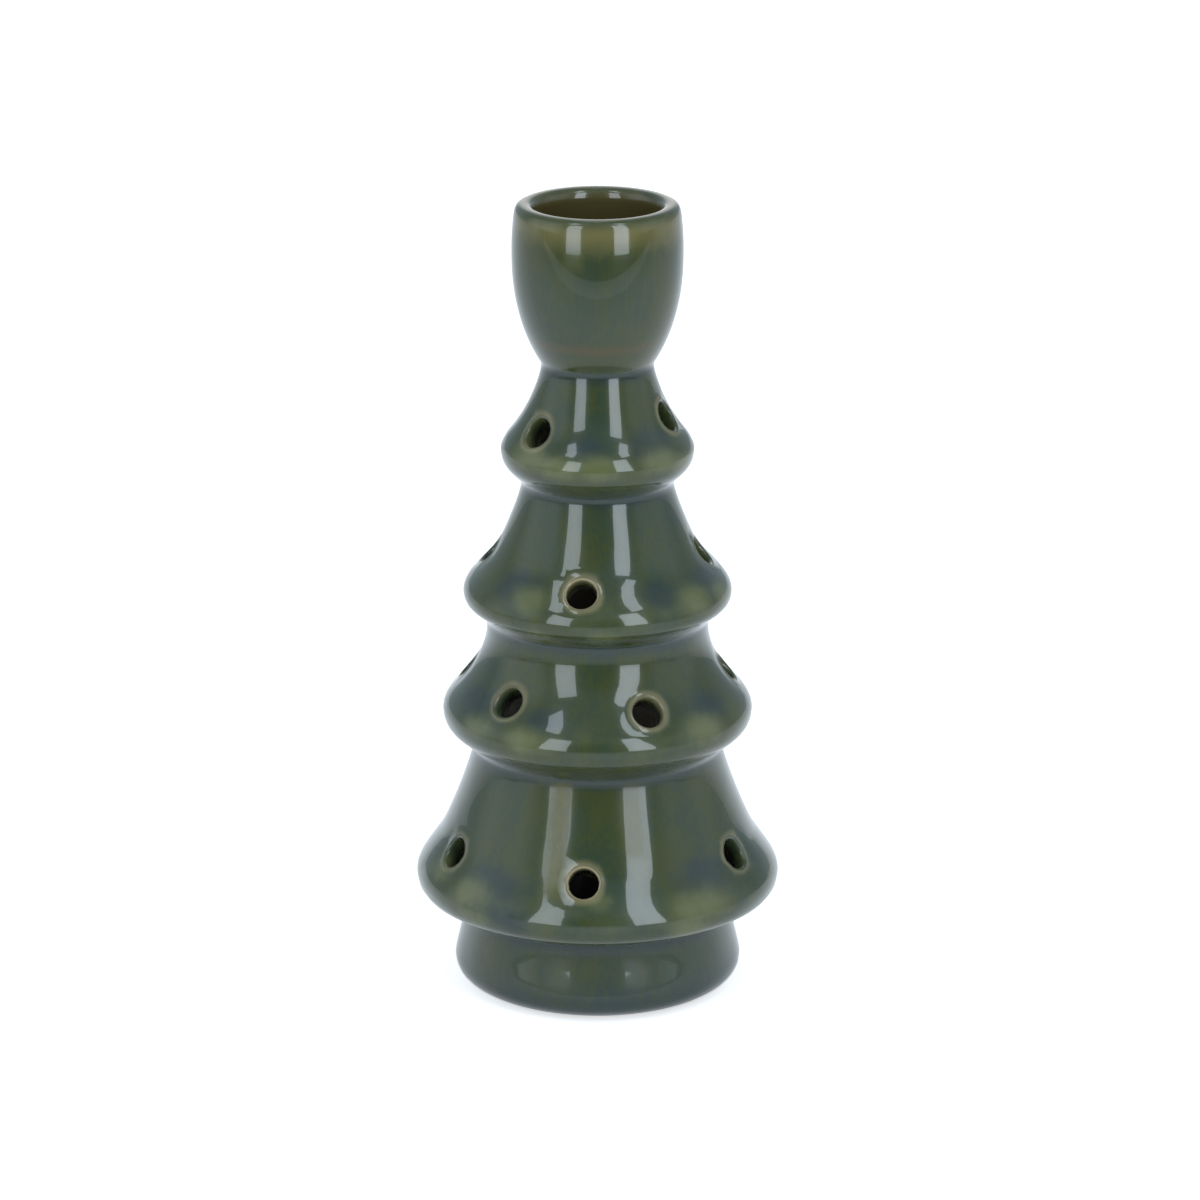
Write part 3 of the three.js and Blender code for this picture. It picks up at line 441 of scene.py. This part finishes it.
def open_square(bm, inside):
    """Takes the faces out of the square and returns the edges round it, in the same order each run."""
    members = set(inside)
    touching = (face for vert in inside for face in vert.link_faces)
    faces = dict.fromkeys(face for face in touching if members.issuperset(face.verts))
    edges = dict.fromkeys(side for face in faces for side in face.edges)
    edges = [side for side in edges if sum(face in faces for face in side.link_faces) == 1]
    bmesh.ops.delete(bm, geom=list(faces), context="FACES")
    return edges


def round_mouth(bm, hole, edges, halo):
    """Draws the mouth's edge inwards ring by ring and returns the innermost ring's edges."""
    for (radius, depth), tan_share in zip(MOUTH_RINGS, MOUTH_BARENESS):
        made = bmesh.ops.extrude_edge_only(bm, edges=edges)["geom"]
        edges = [item for item in made if isinstance(item, bmesh.types.BMEdge)]
        for vert in (item for item in made if isinstance(item, bmesh.types.BMVert)):
            offset = vert.co - hole.centre
            across, rise = offset.dot(hole.across), offset.dot(hole.rise)
            spread = math.hypot(across, rise)
            if radius == MOUTH_RINGS[0][0]:
                vert[halo["height"]] = offset.dot(hole.normal) / MM
                vert[halo["spread"]] = spread / MM
            share = radius / vert[halo["spread"]]
            swell = vert[halo["height"]] * share ** 2
            flat = (hole.across * across + hole.rise * rise) * (radius * MM / spread)
            vert.co = hole.centre + flat + hole.normal * (swell - depth) * MM
            # How bare the ring is, lessened at side holes as painted shade.
            vert[halo["mouth"]] = tan_share * hole.tan_share
    return edges


def pierce(bm, grid, outside, cavity, hole, layers):
    square, cells = ease_onto_circle(grid, outside, hole.angle, hole.reach, MOUTH_RADIUS)
    angle, reach = hole.place_inside(cavity)
    inner_square, _ = ease_onto_circle(grid, cavity, angle, reach, HOLE_RADIUS, cells)
    outer_edges = open_square(bm, square)
    inner_edges = open_square(bm, inner_square)
    tube_edges = round_mouth(bm, hole, outer_edges, layers)
    bmesh.ops.bridge_loops(bm, edges=tube_edges + inner_edges)


def dimple(verts, hole, mouth_layer):
    """Sinks the glaze a little round a mouth and marks how near each point is to it."""
    reach = (MOUTH_RADIUS + max(DIMPLE_WIDTH, HALO_OUTER)) * MM
    for vert in verts:
        offset = vert.co - hole.centre
        if offset.length > reach:
            continue
        height = offset.dot(hole.normal)
        spread = math.sqrt(max(offset.length_squared - height ** 2, 0)) / MM
        vert.co -= hole.normal * DIMPLE_DEPTH * MM * (1 - smooth((spread - MOUTH_RADIUS) / DIMPLE_WIDTH))
        near = 1 - smooth((spread - HALO_INNER) / (HALO_OUTER - HALO_INNER))
        vert[mouth_layer] = max(vert[mouth_layer], near)


def sort_by_place(bm):
    """Blender's spin lists its faces in a new order each run, so they are sorted by where they lie."""
    bm.verts.sort(key=lambda vert: vert.co.dot(SORTING_WAY))
    bm.faces.sort(key=lambda face: face.calc_center_median().dot(SORTING_WAY))


def tree_mesh():
    """The whole ceramic body as one closed turned skin with its light holes."""
    fine = outside_line(FINENESS)
    cavity_fine = cavity_line(fine, FINENESS)
    bore = bore_points()
    outside_rows = fine[::FINENESS]
    chain = bore + outside_rows[::-1] + underside_points() + cavity_fine[::FINENESS]
    outside = Skin(fine, len(bore) + len(outside_rows) - 1, -1)
    cavity = Skin(cavity_fine, len(chain) - len(cavity_fine[::FINENESS]), 1)

    bm = bmesh.new()
    row_layer = bm.verts.layers.int.new("row")
    layers = {name: bm.verts.layers.float.new(name) for name in ("mouth", "height", "spread")}
    verts = [bm.verts.new((0, -point.x * MM, point.y * MM)) for point in chain]
    for index, vert in enumerate(verts):
        vert[row_layer] = index
    edges = [bm.edges.new(pair) for pair in zip(verts, verts[1:])]
    bmesh.ops.spin(
        bm, geom=verts + edges, cent=(0, 0, 0), axis=(0, 0, 1), dvec=(0, 0, 0),
        angle=math.tau, steps=COLUMNS, use_merge=True, use_duplicate=False,
    )
    bmesh.ops.remove_doubles(bm, verts=bm.verts, dist=1e-7)
    bmesh.ops.recalc_face_normals(bm, faces=bm.faces)
    grid = {}
    for vert in bm.verts:
        column = round(math.atan2(vert.co.x, -vert.co.y) / math.tau * COLUMNS) % COLUMNS
        grid[vert[row_layer], column] = vert

    holes = []
    crease = FOOT_HEIGHT
    for tier in TIERS:
        holes += [Hole(outside, angle, crease + rise) for angle, rise in tier["holes"]]
        crease += tier["height"]
    outer_verts = [
        vert for (row, _), vert in grid.items() if len(bore) <= row < len(bore) + len(outside_rows)
    ]
    for hole in holes:
        pierce(bm, grid, outside, cavity, hole, layers)
    for hole in holes:
        dimple([vert for vert in outer_verts if vert.is_valid], hole, layers["mouth"])
    for face in bm.faces:
        face.smooth = True
    sort_by_place(bm)
    return bm, row_layer, cavity.first_row


def patch_share(patches, angle, radius, rise):
    """How deep a point of a tier lies in the nearest of its patches."""
    share = 0.0
    for patch_angle, patch_rise, size in patches:
        for turned in (0, math.pi):
            turn = math.remainder(angle - math.radians(patch_angle) - turned, math.tau)
            across = turn * radius / (size * PATCH_LENGTH)
            share = max(share, math.exp(-across ** 2 - ((rise - patch_rise) / (size * PATCH_HEIGHT)) ** 2))
    return share


def dry_share(angle, radius, height):
    share = 0.0
    for streak_angle, low, high, width, loss in DRY_STREAKS:
        across = math.remainder(angle - math.radians(streak_angle), math.tau) * radius / (width / 2)
        beyond = max(low - height, height - high, 0)
        share = max(share, loss * math.exp(-across ** 4) * (1 - smooth(beyond)))
    return share


def mark_glaze(bm, row_layer, cavity_row):
    """Marks where the glaze breaks thin, runs dark or dries, where it pools, and where the clay is bare."""
    names = ("thin", "pool", "bare", "inner", "rim", "bore", "light", "dark", "dry")
    layers = {name: bm.verts.layers.float.new(name) for name in names}
    creases = [FOOT_HEIGHT]
    for tier in TIERS:
        creases.append(creases[-1] + tier["height"])
    for vert in bm.verts:
        height = vert.co.z / MM
        radius = math.hypot(vert.co.x, vert.co.y) / MM
        angle = math.atan2(vert.co.x, -vert.co.y)
        below_lip = max(total_height - height, 0)
        in_bore = radius < LIP_CREST_RADIUS and height > CANDLE_FLOOR - SLACK
        pool = 1 - smooth(height / FOOT_POOL)
        for crease in creases:
            below = crease - height
            pool = max(pool, 1 - smooth(below / POOL_BAND) if below > 0 else 1 + below / CREASE_FILLET)
        for index, tier in enumerate(TIERS):
            rise = height - creases[index]
            if 0 <= rise < tier["height"]:
                vert[layers["rim"]] = 1 - smooth(abs(rise - tier["rim_rise"] - 1) / RIM_BAND)
                vert[layers["light"]] = patch_share(LIGHT_PATCHES[index], angle, radius, rise)
                vert[layers["dark"]] = patch_share(DARK_PATCHES[index], angle, radius, rise)
        under_foot = height < BARE_HEIGHT and radius < FOOT_RING_OUTER + BARE_REACH
        in_recess = height < CAVITY_FLOOR + SLACK and radius < FOOT_RING_OUTER - SLACK
        on_crest = CREST_SHARE * (1 - smooth(below_lip / LIP_HEIGHT))
        vert[layers["thin"]] = 1 - smooth(below_lip / THIN_BAND) - on_crest
        vert[layers["bore"]] = smooth(below_lip / LIP_HEIGHT) if in_bore else 0.0
        vert[layers["pool"]] = pool
        vert[layers["dry"]] = dry_share(angle, radius, height)
        vert[layers["bare"]] = 1.0 if under_foot or in_recess else 0.0
        vert[layers["inner"]] = 1.0 if vert[row_layer] > cavity_row else 0.0


def piece_from(bm, name, finish):
    mesh = bpy.data.meshes.new(name)
    bm.to_mesh(mesh)
    bm.free()
    mesh.materials.append(finish)
    piece = bpy.data.objects.new(name, mesh)
    bpy.context.scene.collection.objects.link(piece)
    return piece


# Materials

class Wire:
    """A number inside a material. Sums on it add Math nodes."""

    def __init__(self, finish, socket):
        self.finish = finish
        self.socket = socket

    def __add__(self, other):
        return self.finish.math("ADD", self, other)

    __radd__ = __add__

    def __sub__(self, other):
        return self.finish.math("SUBTRACT", self, other)

    def __rsub__(self, other):
        return self.finish.math("SUBTRACT", other, self)

    def __mul__(self, other):
        return self.finish.math("MULTIPLY", self, other)

    __rmul__ = __mul__

    def __pow__(self, other):
        return self.finish.math("POWER", self, other)


class Finish:
    """A material, or the world, and the nodes that make it."""

    def __init__(self, owner):
        owner.use_nodes = True
        self.owner = owner
        self.tree = owner.node_tree
        self.tree.nodes.clear()

    def add(self, kind, settings=None, sockets=None):
        """Adds a node: its settings first, then the values or links of its sockets."""
        node = self.tree.nodes.new(kind)
        for name, value in (settings or {}).items():
            setattr(node, name, value)
        for name, value in (sockets or {}).items():
            self.feed(node.inputs[name], value)
        return node

    def feed(self, socket, value):
        if isinstance(value, Wire):
            self.tree.links.new(value.socket, socket)
        elif isinstance(value, bpy.types.NodeSocket):
            self.tree.links.new(value, socket)
        elif socket.type == "RGBA" and len(value) == 3:
            socket.default_value = (*value, 1)
        else:
            socket.default_value = value

    def math(self, operation, first, second):
        node = self.add("ShaderNodeMath", {"operation": operation}, {0: first, 1: second})
        return Wire(self, node.outputs[0])

    def smooth_share(self, value, low, high):
        """0 below low and 1 above high, with a soft step between."""
        settings = {"interpolation_type": "SMOOTHSTEP"}
        sockets = {"Value": value, "From Min": low, "From Max": high}
        return Wire(self, self.add("ShaderNodeMapRange", settings, sockets).outputs["Result"])

    def mix(self, share, first, second):
        """The first colour where share is 0 and the second where it is 1."""
        node = self.add("ShaderNodeMix", {"data_type": "RGBA"}, {0: share, 6: first, 7: second})
        return node.outputs[2]

    def scaled(self, vector, scale):
        sockets = {0: vector, 1: scale}
        return self.add("ShaderNodeVectorMath", {"operation": "MULTIPLY"}, sockets).outputs[0]

    def place(self):
        return self.add("ShaderNodeTexCoord").outputs["Object"]

    def mark(self, name):
        return Wire(self, self.add("ShaderNodeAttribute", {"attribute_name": name}).outputs["Fac"])

    def noise(self, vector, scale, detail=2.0, roughness=0.5):
        sockets = {"Vector": vector, "Scale": scale, "Detail": detail, "Roughness": roughness}
        return Wire(self, self.add("ShaderNodeTexNoise", None, sockets).outputs["Fac"])

    def bump(self, height, distance, strength=1.0):
        sockets = {"Height": height, "Distance": distance, "Strength": strength}
        return self.add("ShaderNodeBump", None, sockets).outputs["Normal"]

    def surface(self, sockets):
        shader = self.add("ShaderNodeBsdfPrincipled", None, sockets)
        output = self.add("ShaderNodeOutputMaterial")
        self.tree.links.new(shader.outputs[0], output.inputs["Surface"])
        return self.owner


def new_finish(name):
    return Finish(bpy.data.materials.new(name))


OLIVE_GLAZE = (0.039, 0.049, 0.015)
SEA_GREEN_GLAZE = (0.027, 0.043, 0.023)
POOLED_GLAZE = (0.016, 0.029, 0.031)
BROKEN_GLAZE = (0.12, 0.13, 0.052)
THIN_GLAZE = (0.145, 0.125, 0.045)
HALO_GLAZE = (0.2, 0.17, 0.085)
BARE_MOUTH = (0.3, 0.24, 0.14)
BORE_GLAZE = (0.06, 0.049, 0.017)
BISQUE = (0.5, 0.41, 0.29)
CAVITY_GLAZE = (0.42, 0.37, 0.3)
EPOXY_AMBER = (0.86, 0.72, 0.4)
EPOXY_PALE = (0.93, 0.83, 0.56)

# The soft gloss of the glaze's body, and the sharp gloss of its skin
BODY_ROUGHNESS = 0.16
BODY_IOR = 1.28
SKIN_ROUGHNESS = 0.03
SKIN_IOR = 1.39


def green_glaze():
    """Two layers: a soft body gloss, and over it the sharp gloss that a dry streak partly loses."""
    finish = new_finish("green_glaze")
    place = finish.place()
    streaks = finish.noise(finish.scaled(place, (1900, 1900, 55)), 1.0, 3.0, 0.6)
    washes = finish.noise(finish.scaled(place, (170, 170, 30)), 1.0, 2.0, 0.5)
    clouds = finish.noise(place, 60, 2.0, 0.5)
    blotches = finish.noise(place, 150, 2.0, 0.5)
    mottle = finish.noise(finish.scaled(place, (520, 520, 300)), 1.0, 3.0, 0.6)
    grains = finish.noise(place, 2600, 2.0, 0.6)
    mark = finish.mark
    blend = clouds + (washes - 0.5) * 0.9 + (streaks - 0.5) * 0.8 + (mottle - 0.5) * 0.5
    tone = finish.smooth_share(blend, 0.3, 0.75)
    colour = finish.mix(tone, OLIVE_GLAZE, SEA_GREEN_GLAZE)
    uneven = 0.2 + blotches * 0.9 + mottle * 0.7
    colour = finish.mix(finish.smooth_share(mark("pool") * uneven, 0.1, 1.0) * 0.7, colour, POOLED_GLAZE)
    colour = finish.mix(finish.smooth_share(mark("dark") * uneven, 0.15, 0.9) * 0.75, colour, POOLED_GLAZE)
    colour = finish.mix(mark("rim") * finish.smooth_share(blotches, 0.35, 0.75) * 0.25, colour, BROKEN_GLAZE)
    colour = finish.mix(finish.smooth_share(mark("light") * uneven, 0.15, 1.0) * 0.65, colour, BROKEN_GLAZE)
    broken = finish.smooth_share(mark("thin") + (washes - 0.5) * 0.5 + (blotches - 0.5) * 0.4, 0.2, 0.95)
    colour = finish.mix(broken * 0.8, colour, THIN_GLAZE)
    colour = finish.mix(mark("dry") * 0.4, colour, THIN_GLAZE)
    colour = finish.mix(mark("bore"), colour, BORE_GLAZE)
    halo = finish.smooth_share(mark("mouth") + (blotches - 0.5) * 0.8, 0.3, 1.05)
    colour = finish.mix(halo * 0.6, colour, HALO_GLAZE)
    # Bare clay at the mouths, left out at the side holes as painted shade.
    colour = finish.mix(finish.smooth_share(mark("mouth"), 0.91, 0.97), colour, BARE_MOUTH)
    colour = finish.mix(finish.smooth_share(mark("inner"), 0.5, 1.0), colour, CAVITY_GLAZE)
    colour = finish.mix(mark("bare"), colour, BISQUE)
    waves = finish.noise(place, 110, 1.0, 0.4)
    ripples = finish.noise(place, 420, 1.0, 0.5)
    return finish.surface({
        "Base Color": colour,
        "Roughness": mark("bare") * 0.55 + mark("inner") * 0.1 + (streaks * 0.1 + BODY_ROUGHNESS),
        "IOR": BODY_IOR,
        "Coat Weight": (1 - mark("bare")) * (1 - mark("dry") * (0.55 + grains * 0.9)),
        "Coat Roughness": SKIN_ROUGHNESS,
        "Coat IOR": SKIN_IOR,
        "Normal": finish.bump(waves + ripples * 0.05, 0.0006, 0.3),
    })


def moulded(name, colour, roughness, grain=9000, depth=0.00003):
    """Moulded plastic or rubber with a fine sparked texture."""
    finish = new_finish(name)
    place = finish.place()
    speckle = finish.noise(place, grain, 2.0, 0.6)
    cloud = finish.noise(place, 140, 2.0, 0.5)
    darker = tuple(0.82 * value for value in colour)
    return finish.surface({
        "Base Color": finish.mix(cloud, darker, colour),
        "Roughness": roughness + (speckle - 0.5) * 0.16,
        "Normal": finish.bump(speckle, depth, 0.6),
    })


def plated(name, colour, roughness, brushed=(1500, 1500, 1500)):
    """Plated metal with fine brush marks."""
    finish = new_finish(name)
    place = finish.place()
    marks = finish.noise(finish.scaled(place, brushed), 1.0, 3.0, 0.6)
    cloud = finish.noise(place, 260, 2.0, 0.5)
    darker = tuple(0.85 * value for value in colour)
    return finish.surface({
        "Base Color": finish.mix(cloud, darker, colour),
        "Metallic": 1.0,
        "Roughness": roughness + (marks - 0.5) * 0.14,
        "Normal": finish.bump(marks, 0.00001, 0.4),
    })


def cast_epoxy():
    finish = new_finish("warm_epoxy")
    cloud = finish.noise(finish.place(), 500, 2.0, 0.5)
    return finish.surface({
        "Base Color": finish.mix(cloud, EPOXY_AMBER, EPOXY_PALE),
        "Roughness": 0.08 + cloud * 0.06,
        "Transmission Weight": 0.35,
        "Subsurface Weight": 0.3,
        "Subsurface Radius": (0.001, 0.0008, 0.0005),
        "IOR": 1.53,
    })


# Light, floor and camera

CAMERA_DISTANCE = 0.9164
CAMERA_HEIGHT = 0.3642
CAMERA_SIDE = 0.00045
AIM_HEIGHT = 0.07443
LENS = 155.25
SENSOR_WIDTH = 36
BACKDROP = (1.0, 1.0, 1.0)
DIM_ROOM = (0.04, 0.045, 0.06)
LEFT_WALL = (1.0, 1.12, 1.22)
RIGHT_WALL = (0.72, 0.82, 0.92)
LEFT_CORNER = (0.34, 0.42, 0.48)
RIGHT_CORNER = (0.32, 0.39, 0.45)
CEILING = (0.3, 0.36, 0.44)
BACK_LIGHT = (0.9, 1.0, 1.05)

# Angles from the front, in radians, over which one part of the room gives way to the next, and the steepness
# of the way up over which the ceiling begins
WALL_BEGINS = (0.7, 1.15)
CORNER_BEGINS = (1.6, 2.1)
BACK_LIGHT_BEGINS = (2.0, 2.6)
BACKDROP_BEGINS = (2.8, 3.1)
CEILING_BEGINS = (0.5, 0.8)

# The table's size and its two whites, its own glow, the share of it that the glaze mirrors and the share
# inside the foot's ring. The table dims towards the front, and glows more far away so that it stays white.
TABLE_SIZE = 6
TABLE_GREYER = (0.8, 0.8, 0.8)
TABLE_WHITER = (0.84, 0.84, 0.84)
TABLE_GLOW = 0.6
TABLE_MIRRORED = 0.34
RING_GLOW = 0.6
RING_REACH = (0.0172, 0.0184)
FRONT_REACH = (0.1, 0.5)
FAR_GLOW = 0.3
FAR_REACH = (0.3, 1.5)

PANEL_DISTANCE = 1.0
LAMP_COLOUR = (0.84, 0.93, 1.04)


def floor_finish():
    """White table that ends in the dim room. From below it is clear, and it glows inside the foot's ring."""
    finish = new_finish("white_table")
    rays = finish.add("ShaderNodeLightPath").outputs
    camera, glossy = Wire(finish, rays["Is Camera Ray"]), Wire(finish, rays["Is Glossy Ray"])
    place = finish.place()
    parts = finish.add("ShaderNodeSeparateXYZ", None, {0: place}).outputs
    across, ahead = Wire(finish, parts["X"]), Wire(finish, parts["Y"]) * -1
    in_front = finish.smooth_share(ahead, *FRONT_REACH) * (1 - camera)
    from_middle = (across * across + ahead * ahead) ** 0.5
    in_ring = (1 - finish.smooth_share(from_middle, *RING_REACH)) * (1 - camera) * RING_GLOW
    far_glow = finish.smooth_share(from_middle, *FAR_REACH) * FAR_GLOW
    cloud = finish.noise(place, 3.0, 2.0, 0.5)
    white = finish.mix(cloud, TABLE_GREYER, TABLE_WHITER)
    diffuse = finish.add("ShaderNodeBsdfDiffuse", None, {"Color": finish.mix(in_front, white, DIM_ROOM)})
    mirrored = glossy * (1 - in_front) * TABLE_MIRRORED
    plain = (camera + Wire(finish, rays["Is Transmission Ray"])) * (1 + far_glow)
    seen = plain + mirrored + in_ring
    glow = finish.add("ShaderNodeEmission", None, {"Color": BACKDROP, "Strength": seen * TABLE_GLOW})
    white_top = finish.add("ShaderNodeAddShader", None, {0: diffuse.outputs[0], 1: glow.outputs[0]})
    clear = finish.add("ShaderNodeBsdfTransparent", None, {"Color": BACKDROP})
    from_below = Wire(finish, finish.add("ShaderNodeNewGeometry").outputs["Backfacing"]) * camera
    sockets = {0: from_below, 1: white_top.outputs[0], 2: clear.outputs[0]}
    table = finish.add("ShaderNodeMixShader", None, sockets)
    output = finish.add("ShaderNodeOutputMaterial")
    finish.tree.links.new(table.outputs[0], output.inputs["Surface"])
    return finish.owner


def lay_floor():
    bm = bmesh.new()
    bmesh.ops.create_grid(bm, x_segments=1, y_segments=1, size=TABLE_SIZE)
    floor = piece_from(bm, "table", floor_finish())


def light_world():
    """White behind the tree, pale walls beside it, a dim room in front of it and a pale ceiling.

    The walls behind it are mirrored dimmer than they light it."""
    world = bpy.data.worlds.new("studio")
    bpy.context.scene.world = world
    finish = Finish(world)
    way = finish.add("ShaderNodeTexCoord").outputs["Generated"]
    parts = finish.add("ShaderNodeSeparateXYZ", None, {0: way}).outputs
    azimuth = finish.math("ARCTAN2", Wire(finish, parts["X"]), Wire(finish, parts["Y"]) * -1)
    room = finish.mix(finish.smooth_share(azimuth * -1, *WALL_BEGINS), DIM_ROOM, LEFT_WALL)
    room = finish.mix(finish.smooth_share(azimuth, *WALL_BEGINS), room, RIGHT_WALL)
    turned = finish.math("ABSOLUTE", azimuth, 0)
    room = finish.mix(finish.smooth_share(azimuth * -1, *CORNER_BEGINS), room, LEFT_CORNER)
    room = finish.mix(finish.smooth_share(azimuth, *CORNER_BEGINS), room, RIGHT_CORNER)
    room = finish.mix(finish.smooth_share(Wire(finish, parts["Z"]), *CEILING_BEGINS), room, CEILING)
    room = finish.mix(finish.smooth_share(turned, *BACKDROP_BEGINS), room, BACKDROP)
    rays = finish.add("ShaderNodeLightPath").outputs
    plain = Wire(finish, rays["Is Camera Ray"]) + Wire(finish, rays["Is Transmission Ray"])
    lighting = (1 - Wire(finish, rays["Is Glossy Ray"])) * finish.smooth_share(turned, *BACK_LIGHT_BEGINS)
    colour = finish.mix(plain, finish.mix(lighting, room, BACK_LIGHT), BACKDROP)
    background = finish.add("ShaderNodeBackground", None, {"Color": colour, "Strength": 1.0})
    output = finish.add("ShaderNodeOutputWorld")
    finish.tree.links.new(background.outputs[0], output.inputs["Surface"])


def lamp(name, place, aim, width, height, strength):
    """A soft panel. Its strength is the brightness that a reflection of it shows."""
    light = bpy.data.lights.new(name, "AREA")
    light.shape = "RECTANGLE"
    light.size = width
    light.size_y = height
    light.energy = strength * math.pi * width * height
    light.color = LAMP_COLOUR
    panel = bpy.data.objects.new(name, light)
    panel.location = place
    panel.rotation_euler = (Vector(place) - Vector(aim)).to_track_quat("Z", "Y").to_euler()
    panel.visible_camera = False
    bpy.context.scene.collection.objects.link(panel)


# Upright lamps round the table's front: their angle from the front and its spread, their distance, the
# heights of their ends and their brightness. Each strip has a dimmer foot, and a low card stands in
# front of both.
STRIPS = [
    {"name": "left_strip", "angle": -32, "spread": 20, "distance": 0.66, "ends": (0.1, 0.7), "strength": 5.5},
    {"name": "right_strip", "angle": 32, "spread": 20, "distance": 0.66, "ends": (0.1, 0.8), "strength": 6.6},
    {"name": "left_foot", "angle": -32, "spread": 20, "distance": 0.66, "ends": (0.05, 0.1), "strength": 5.0},
    {"name": "right_foot", "angle": 32, "spread": 20, "distance": 0.66, "ends": (0.05, 0.1), "strength": 5.6},
    {"name": "low_card", "angle": 0, "spread": 150, "distance": 0.3, "ends": (0.002, 0.05), "strength": 0.7},
]

# Two panels over them: angle from the front, elevation, their spreads and brightness
PANELS = [
    {"name": "left_panel", "angle": -46, "rise": 60, "spread": 18, "height": 18, "strength": 5.4},
    {"name": "right_panel", "angle": 46, "rise": 60, "spread": 18, "height": 18, "strength": 6.4},
]


def set_lamps():
    for strip in STRIPS:
        angle, distance = math.radians(strip["angle"]), strip["distance"]
        low, high = strip["ends"]
        width = 2 * distance * math.tan(math.radians(strip["spread"] / 2))
        middle = (low + high) / 2
        place = (distance * math.sin(angle), -distance * math.cos(angle), middle)
        lamp(strip["name"], place, (0, 0, middle), width, high - low, strip["strength"])
    middle = total_height / 2 * MM
    for panel in PANELS:
        angle, rise = math.radians(panel["angle"]), math.radians(panel["rise"])
        across = PANEL_DISTANCE * math.cos(rise)
        top = middle + PANEL_DISTANCE * math.sin(rise)
        place = (across * math.sin(angle), -across * math.cos(angle), top)
        width = 2 * across * math.tan(math.radians(panel["spread"] / 2))
        height = 2 * PANEL_DISTANCE * math.tan(math.radians(panel["height"] / 2))
        lamp(panel["name"], place, (0, 0, middle), width, height, panel["strength"])


def set_camera():
    data = bpy.data.cameras.new("camera")
    data.lens = LENS
    data.sensor_width = SENSOR_WIDTH
    camera = bpy.data.objects.new("camera", data)
    camera.location = (CAMERA_SIDE, -CAMERA_DISTANCE, CAMERA_HEIGHT)
    aim = Vector((CAMERA_SIDE, 0, AIM_HEIGHT))
    camera.rotation_euler = (aim - camera.location).to_track_quat("-Z", "Y").to_euler()
    bpy.context.scene.collection.objects.link(camera)
    bpy.context.scene.camera = camera


# The scene

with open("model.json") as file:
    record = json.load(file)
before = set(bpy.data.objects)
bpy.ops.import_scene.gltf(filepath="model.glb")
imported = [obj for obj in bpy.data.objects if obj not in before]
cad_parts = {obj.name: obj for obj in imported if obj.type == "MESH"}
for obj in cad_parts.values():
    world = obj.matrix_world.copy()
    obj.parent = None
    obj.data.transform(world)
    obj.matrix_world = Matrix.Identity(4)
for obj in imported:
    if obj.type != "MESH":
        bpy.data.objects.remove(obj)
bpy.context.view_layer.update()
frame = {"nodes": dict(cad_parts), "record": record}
bpy.context.scene.view_settings.view_transform = "Standard"

set_camera()
light_world()
set_lamps()
lay_floor()

finishes = {
    "green_glaze": green_glaze(),
    "black_plastic": moulded("black_plastic", (0.013, 0.013, 0.014), 0.5),
    "grey_silicone": moulded("grey_silicone", (0.07, 0.07, 0.073), 0.62),
    "white_plastic": moulded("white_plastic", (0.76, 0.75, 0.7), 0.4),
    "zinc_steel": plated("zinc_steel", (0.6, 0.62, 0.64), 0.3),
    "cell_steel": plated("cell_steel", (0.62, 0.62, 0.6), 0.22),
    "nickel_contact": plated("nickel_contact", (0.68, 0.66, 0.6), 0.2),
    "brown_laminate": moulded("brown_laminate", (0.15, 0.07, 0.03), 0.55, grain=2500),
    "green_board": moulded("green_board", (0.02, 0.13, 0.05), 0.3, grain=1800),
    "warm_epoxy": cast_epoxy(),
    "black_sleeve": moulded("black_sleeve", (0.01, 0.01, 0.01), 0.45),
    "red_sleeve": moulded("red_sleeve", (0.4, 0.02, 0.015), 0.45),
}

for subpart in frame["record"]["subparts"]:
    node = frame["nodes"][subpart["node"]]
    if not node.material_slots:
        node.data.materials.append(None)
    for slot in node.material_slots:
        slot.link = "OBJECT"
        slot.material = finishes[subpart["material_slot"]]

tree_bm, row_layer, cavity_row = tree_mesh()
mark_glaze(tree_bm, row_layer, cavity_row)
glazed_tree = piece_from(tree_bm, "glazed_tree", finishes["green_glaze"])
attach(glazed_tree, "tree")
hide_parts("tree_body")
